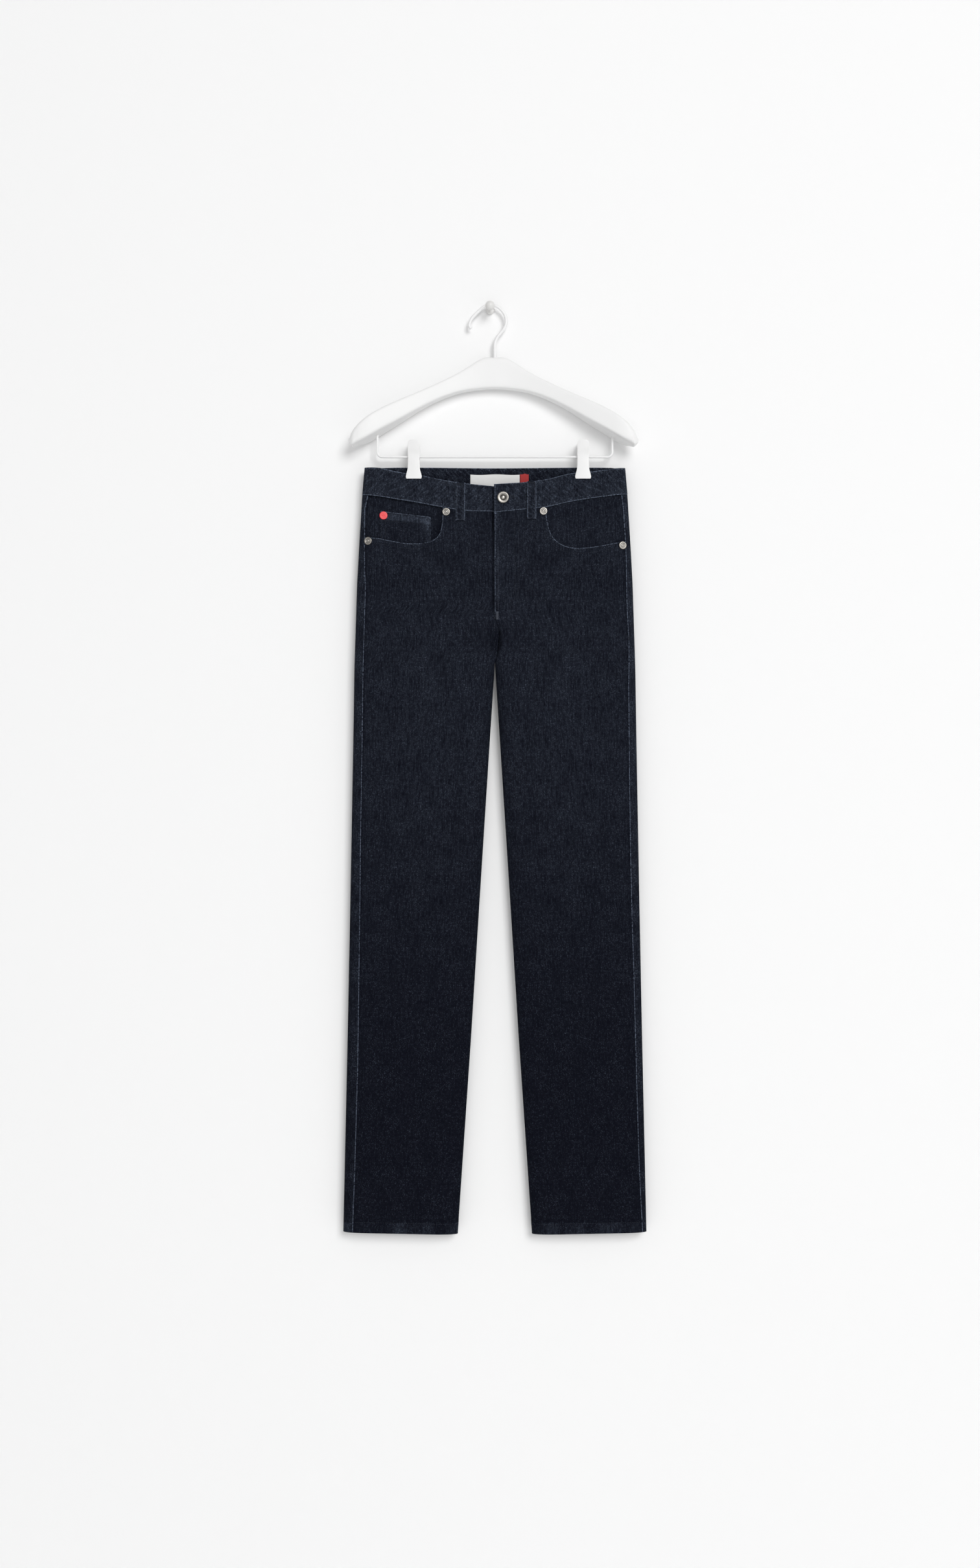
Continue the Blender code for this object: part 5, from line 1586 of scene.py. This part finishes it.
def hanger_piece():
    """The hanger's body: a ring of points drawn along its arms, with rounded ends."""
    tip, turned_from, sides = ARMS[-1].x, 180.0, 48
    square, oval = 8.0, 3.0
    turn = np.cos(np.linspace(0.25, 1.0, 11) * math.pi / 2)
    half = np.concatenate([np.linspace(0.0, turned_from, 46), tip - (tip - turned_from) * turn])
    half[-1] = tip
    angles = 2.0 * math.pi * (np.arange(sides + 1) + 0.5) / sides
    rows = []
    for x in np.concatenate([-half[:0:-1], half]):
        away = abs(x)
        top, bottom, front, back, slant = (float(smooth_read(ARMS, away, key)) for key in Arm._fields[1:])
        power = 2.0 / mix(square, oval, float(ease((away - 170.0) / 28.0)))
        across, up = (np.sign(wave) * np.abs(wave) ** power for wave in (np.cos(angles), np.sin(angles)))
        y = (front + back) / 2.0 + (back - front) / 2.0 * across
        lowered = slant * (0.5 + 0.5 * across) * np.minimum(up, 0.0)
        z = (top + bottom) / 2.0 + (top - bottom) / 2.0 * up + lowered
        rows.append(np.stack([np.full(sides + 1, x - HANGER_SHIFT * away / tip), y - HELD.y, z], axis=-1))
    for index, step in ((0, -1), (-1, 1)):
        ring = rows[index]
        middle = ring[:-1].mean(axis=0)
        caps = [middle + (ring - middle) * share + np.array([step * rise, 0.0, 0.0])
                for share, rise in ((0.86, 0.8), (0.6, 1.3), (0.3, 1.5), (0.02, 1.55))]
        rows = (caps[::-1] + rows) if step < 0 else (rows + caps)
    piece = laid_grid("hanger_body_shell", np.array(rows), ring=True)
    edit(piece,
         (bpy.ops.mesh.select_mode, {"type": "EDGE"}),
         (bpy.ops.mesh.select_all, {"action": "DESELECT"}),
         (bpy.ops.mesh.select_non_manifold, {}),
         (bpy.ops.mesh.fill, {}),
         (bpy.ops.mesh.select_all, {"action": "SELECT"}),
         (bpy.ops.mesh.normals_make_consistent, {"inside": False}))
    hand_over(piece, "hanger_plastic", "hanger_body", smooth=40.0)


def drawn_wire(name, route, radius, material, node):
    """A round wire along a route in the frame's millimetres."""
    deselect()
    bpy.ops.curve.primitive_nurbs_path_add()
    piece = active(name)
    curve = piece.data
    curve.splines.clear()
    spline = curve.splines.new("POLY")
    spline.points.add(len(route) - 1)
    for target, spot in zip(spline.points, route):
        target.co = (*(Vector(spot) * MM), 1.0)
    curve.bevel_depth = radius * MM
    curve.bevel_resolution = 6
    curve.use_fill_caps = True
    choose(piece)
    bpy.ops.object.convert(target="MESH")
    edit(piece, (bpy.ops.mesh.remove_doubles, {"threshold": FINE_WELD}))
    hand_over(piece, material, node, smooth=60.0)


def hook_piece():
    route = [(x, -10.0, z) for x, z in smoothed(HOOK_ROUTE, 6)]
    drawn_wire("hook_wire", route, HOOK_RADIUS, "coated_wire", "hook")


def bar_piece():
    """The bar: up into one arm, round a corner, across, and round the other corner."""
    top = float(read(ARMS, BAR_HALF, "bottom")) + 8.0
    route = []
    for _, sign in SIDES:
        corner = [(sign * BAR_HALF, top)]
        for step in range(13):
            angle = math.radians(90.0 * step / 12)
            corner.append((sign * (BAR_HALF - BAR_CORNER + BAR_CORNER * math.cos(angle)),
                           BAR_Z + BAR_CORNER - BAR_CORNER * math.sin(angle)))
        route += corner if sign < 0 else corner[::-1]
    route = [(x + HELD.x, HELD.y, z + HELD.z) for x, z in route]
    drawn_wire("trouser_bar_wire", route, BAR_RADIUS, "coated_wire", "trouser_bar")


def jaw_piece(name, x, face):
    """A clip's jaw, with a ribbed grip on its upper part."""
    share = np.linspace(-1.0, 1.0, 13)
    top, bottom, turn = CLIP_ROWS[0].z, CLIP_ROWS[-1].z, 8.0
    levels = np.concatenate([top - turn * (1.0 - np.cos(np.linspace(0.0, 1.0, 9) * math.pi / 2.0)),
                             np.linspace(30.3, -13.5, 24), [-14.1, bottom]])
    rows = []
    for z in levels:
        width, depth = (float(smooth_read(CLIP_ROWS, z, key)) for key in ("half_width", "depth"))
        ribbed = float(ease((31.0 - z) / 3.0) * ease((z - 21.0) / 3.0))
        rib = 0.18 * (0.5 + 0.5 * math.cos(2.0 * math.pi * z / 2.4)) * ribbed
        y = face * (depth - CLIP_CROWN * share**2 + rib * (1 - share**2))
        rows.append(np.stack([x + share * width, y, np.full(len(share), z)], axis=-1))
    piece = laid_grid(f"{name}_shell", np.array(rows))
    face_outwards(piece, (0, face, 0))
    finish_with(piece, "SOLIDIFY", thickness=CLIP_THICKNESS * MM, offset=-1.0)
    finish_with(piece, "BEVEL", width=0.55 * MM, segments=3, limit_method="ANGLE",
                angle_limit=math.radians(45.0))
    hand_over(piece, "clip_plastic", name, smooth=40.0)


def spring_piece(name, x):
    """The clip's coiled spring on the bar."""
    turns, half, radius, thickness, steps = 7, 5.9, 3.6, 0.55, 16
    route = []
    for step in range(turns * steps + 1):
        angle = 2.0 * math.pi * step / steps
        route.append((x + HELD.x + mix(-half, half, step / (turns * steps)),
                      HELD.y + radius * math.cos(angle), BAR_Z + HELD.z + radius * math.sin(angle)))
    drawn_wire(f"{name}_coil", route, thickness, "bare_wire", name)


def peg_piece():
    """The wall peg: a flange, a neck and a ball."""
    neck, ball, centre = 4.4, 6.5, 25.5
    profile = [(6.2, 0.0), (6.2, 3.4), (6.05, 4.0), (5.5, 4.9), (4.2, 5.8), (2.8, 6.3), (2.4, 6.9),
               (2.4, 13.4), (2.9, 14.4), (4.0, 15.2), (neck, 16.2), (4.3, 18.4), (neck, 20.6)]
    for step in range(17):
        angle = mix(-math.acos(neck / ball), math.pi / 2.0, step / 16)
        profile.append((max(ball * math.cos(angle), 0.1), centre + ball * math.sin(angle)))
    piece = turned("wall_peg_metal", profile, 48)
    piece.rotation_euler = (math.radians(90.0), 0.0, 0.0)
    choose(piece)
    bpy.ops.object.transform_apply(location=True, rotation=True, scale=True)
    hand_over(piece, "peg_metal", "wall_peg")


# Operators


class JEANS_OT_finishes(bpy.types.Operator):
    """Makes every material of the jeans, the hanger and the peg."""

    bl_idname = "jeans.finishes"
    bl_label = "Finishes"

    def execute(self, context):
        trim, hanger = context.scene.jeans_trim, context.scene.jeans_hanger
        denim_material("dark_denim")
        denim_material("band_denim", shade=0.008, patches=0.27)
        thread_material("thread", context.scene.jeans_stitches.colour)
        thread_material("pale_thread", context.scene.jeans_stitches.pale)
        metal_material()
        red_material()
        tape_material("label_tape", trim.tape)
        tape_material("tab_tape", trim.tab)
        plastic_material("hanger_plastic", hanger.body, 0.42)
        plastic_material("clip_plastic", hanger.clip, 0.36)
        wire_material("coated_wire", hanger.wire)
        wire_material("bare_wire", (0.62, 0.62, 0.61), 1.0)
        wire_material("peg_metal", hanger.peg)
        return {"FINISHED"}


class JEANS_OT_legs(bpy.types.Operator):
    """Makes the fronts, the backs, the yokes and the hems' turned-up cloth, with the stitching on them."""

    bl_idname = "jeans.legs"
    bl_label = "Legs and seat"

    def execute(self, context):
        for side, sign in SIDES:
            front, back, yoke = (make(side, sign) for make in (front_piece, back_piece, yoke_piece))
            hem_piece(side, sign)
            rows, worn = front_rows(side, sign)
            on_front = [sew(f"front_{side}_stitching", rows),
                        sew(f"front_{side}_bar_tack", worn, "pale_thread")]
            on_back = [sew(f"back_{side}_stitching", back_rows(side, sign))]
            declare(*front, on_front)
            declare(*back, on_back)
            declare(*yoke)
        return {"FINISHED"}


class JEANS_OT_waistband(bpy.types.Operator):
    """Makes the waistband's three pieces, with their stitching and the buttonhole."""

    bl_idname = "jeans.waistband"
    bl_label = "Waistband"

    def execute(self, context):
        for side, sign in SIDES:
            band = band_piece(side, sign)
            declare(*band, [sew(f"waistband_{side}_stitching", band_rows(side, sign))])
        band = band_back_piece()
        declare(*band, [sew("waistband_back_stitching", band_back_rows())])
        return {"FINISHED"}


class JEANS_OT_pockets(bpy.types.Operator):
    """Makes the front pockets' facings, the coin pocket and the back pockets, with their stitching."""

    bl_idname = "jeans.pockets"
    bl_label = "Pockets"

    def execute(self, context):
        for side, sign in SIDES:
            declare(*facing_piece(side, sign))
            pocket = back_pocket_piece(side, sign)
            declare(*pocket, [sew(f"back_pocket_{side}_stitching", back_pocket_rows(sign))])
        coin = coin_piece()
        declare(*coin, [sew("coin_pocket_stitching", coin_rows())])
        return {"FINISHED"}


class JEANS_OT_belt_loops(bpy.types.Operator):
    """Makes the five belt loops, each with two rows of stitches and bar tacks."""

    bl_idname = "jeans.belt_loops"
    bl_label = "Belt loops"

    def execute(self, context):
        for name, x, face in BELT_LOOPS:
            loop = belt_loop_piece(name, x, face)
            rows, worn = loop_rows(x, face)
            declare(*loop, [sew(f"{name}_stitching", rows), sew(f"{name}_bar_tacks", worn, "pale_thread")])
        return {"FINISHED"}


class JEANS_OT_trims(bpy.types.Operator):
    """Makes the button, the rivets and the blank woven label and tab."""

    bl_idname = "jeans.trims"
    bl_label = "Trims"

    def execute(self, context):
        button_piece()
        for name, x, z in RIVETS:
            rivet_piece(name, x, z, ON_CLOTH, "antique_nickel", "metal")
        rivet_piece(*RED_RIVET, ON_CLOTH - COIN_INSET, "red_lacquer", "red_metal")
        tape_piece("waist_label", LABEL, "label_tape")
        tape_piece("waist_tab", SIZE_TAB, "tab_tape")
        return {"FINISHED"}


class JEANS_OT_hanger(bpy.types.Operator):
    """Makes the hanger's body, its hook, its bar and its clips."""

    bl_idname = "jeans.hanger"
    bl_label = "Hanger"

    def execute(self, context):
        hanger_piece()
        hook_piece()
        bar_piece()
        for name, x in CLIP_PLACES:
            jaw_piece(f"{name}_front_jaw", x, FRONT)
            jaw_piece(f"{name}_back_jaw", x, BACK)
            spring_piece(f"{name}_spring", x)
        return {"FINISHED"}


class JEANS_OT_peg(bpy.types.Operator):
    """Makes the wall peg."""

    bl_idname = "jeans.peg"
    bl_label = "Wall peg"

    def execute(self, context):
        peg_piece()
        return {"FINISHED"}


class JEANS_OT_stage(bpy.types.Operator):
    """Makes the pale wall and floor, the soft lights and the camera."""

    bl_idname = "jeans.stage"
    bl_label = "Stage"

    def execute(self, context):
        scene, look = context.scene, context.scene.jeans_stage
        deselect()
        bpy.ops.mesh.primitive_plane_add(size=1.0)
        sweep = active("wall_and_floor")
        half, face, top, floor, reach = 4.0, 0.0006, 1.6, -1.86, 4.5
        order = sorted(sweep.data.vertices, key=lambda vertex: (vertex.co.y < 0, vertex.co.x))
        places = [(x, face, z) for z in (top, floor) for x in (-half, half)]
        for vertex, corner in zip(order, places):
            vertex.co = corner
        choose(sweep)
        bpy.ops.object.mode_set(mode="EDIT")
        bpy.ops.mesh.select_mode(type="EDGE")
        bpy.ops.mesh.select_all(action="DESELECT")
        bpy.ops.object.mode_set(mode="OBJECT")
        for line in sweep.data.edges:
            line.select = all(sweep.data.vertices[v].co.z < 0 for v in line.vertices)
        bpy.ops.object.mode_set(mode="EDIT")
        bpy.ops.mesh.extrude_region_move(TRANSFORM_OT_translate={"value": (0.0, -reach, 0.0)})
        bpy.ops.mesh.select_all(action="SELECT")
        bpy.ops.mesh.normals_make_consistent(inside=False)
        bpy.ops.object.mode_set(mode="OBJECT")
        wall = max(sweep.data.polygons, key=lambda p: abs(p.normal.y))
        if wall.normal.y > 0.0:
            edit(sweep, (bpy.ops.mesh.flip_normals, {}))
        sweep.data.materials.append(backdrop_material())

        world = bpy.data.worlds.new("soft_room")
        world.use_nodes = True
        background = world.node_tree.nodes["Background"].inputs
        background["Color"].default_value = (1.0, 1.0, 1.0, 1.0)
        background["Strength"].default_value = look.fill
        scene.world = world
        for name, spot, size, power in (("key", (2.8, -8.0, 2.9), 4.0, look.key),
                                        ("low_fill", (-0.6, -4.2, -1.5), 2.4, look.key * 0.042)):
            deselect()
            bpy.ops.object.light_add(type="AREA", location=spot)
            lamp = active(name)
            lamp.data.shape = "SQUARE"
            lamp.data.size, lamp.data.energy = size, power
            aim = Vector((0.0, 0.0, -0.62)) - Vector(spot)
            lamp.rotation_mode = "QUATERNION"
            lamp.rotation_quaternion = aim.to_track_quat("-Z", "Y")

        deselect()
        bpy.ops.object.camera_add(location=(0.0, -(look.distance + CLOTH_FRONT), EYE_Z),
                                  rotation=(math.radians(90.0), 0.0, 0.0))
        camera = active("camera")
        camera.data.sensor_fit = "VERTICAL"
        camera.data.sensor_height = SENSOR
        camera.data.lens = SENSOR * look.distance / (PHOTO_HEIGHT * PIXEL * MM)
        camera.data.clip_start, camera.data.clip_end = 0.01, 50.0
        scene.camera = camera
        scene.view_settings.view_transform = "Standard"
        scene.view_settings.look = "None"
        return {"FINISHED"}


class JEANS_PT_pieces(bpy.types.Panel):
    bl_label = "Jeans"
    bl_space_type = "VIEW_3D"
    bl_region_type = "UI"
    bl_category = "Jeans"

    def draw(self, context):
        for group in ("jeans_denim", "jeans_stitches", "jeans_trim", "jeans_hanger", "jeans_stage"):
            settings = getattr(context.scene, group)
            box = self.layout.box()
            for key in settings.__annotations__:
                box.prop(settings, key)
        for operator in OPERATORS:
            self.layout.operator(operator.bl_idname)


OPERATORS = (JEANS_OT_finishes, JEANS_OT_stage, JEANS_OT_legs, JEANS_OT_waistband, JEANS_OT_pockets,
             JEANS_OT_belt_loops, JEANS_OT_trims, JEANS_OT_hanger, JEANS_OT_peg)
SETTINGS = (("jeans_denim", DenimSettings), ("jeans_stitches", StitchSettings), ("jeans_trim", TrimSettings),
            ("jeans_hanger", HangerSettings), ("jeans_stage", StageSettings))


def register():
    for name, group in SETTINGS:
        bpy.utils.register_class(group)
        setattr(bpy.types.Scene, name, PointerProperty(type=group))
    for kind in (*OPERATORS, JEANS_PT_pieces):
        bpy.utils.register_class(kind)


def unregister():
    for kind in (*reversed(OPERATORS), JEANS_PT_pieces):
        bpy.utils.unregister_class(kind)
    for name, group in reversed(SETTINGS):
        delattr(bpy.types.Scene, name)
        bpy.utils.unregister_class(group)


def main():
    register()
    bpy.ops.jeans.finishes()
    bpy.ops.jeans.stage()
    bpy.ops.jeans.legs()
    bpy.ops.jeans.waistband()
    bpy.ops.jeans.pockets()
    bpy.ops.jeans.belt_loops()
    bpy.ops.jeans.trims()
    bpy.ops.jeans.hanger()
    bpy.ops.jeans.peg()


if __name__ == "__main__":
    main()
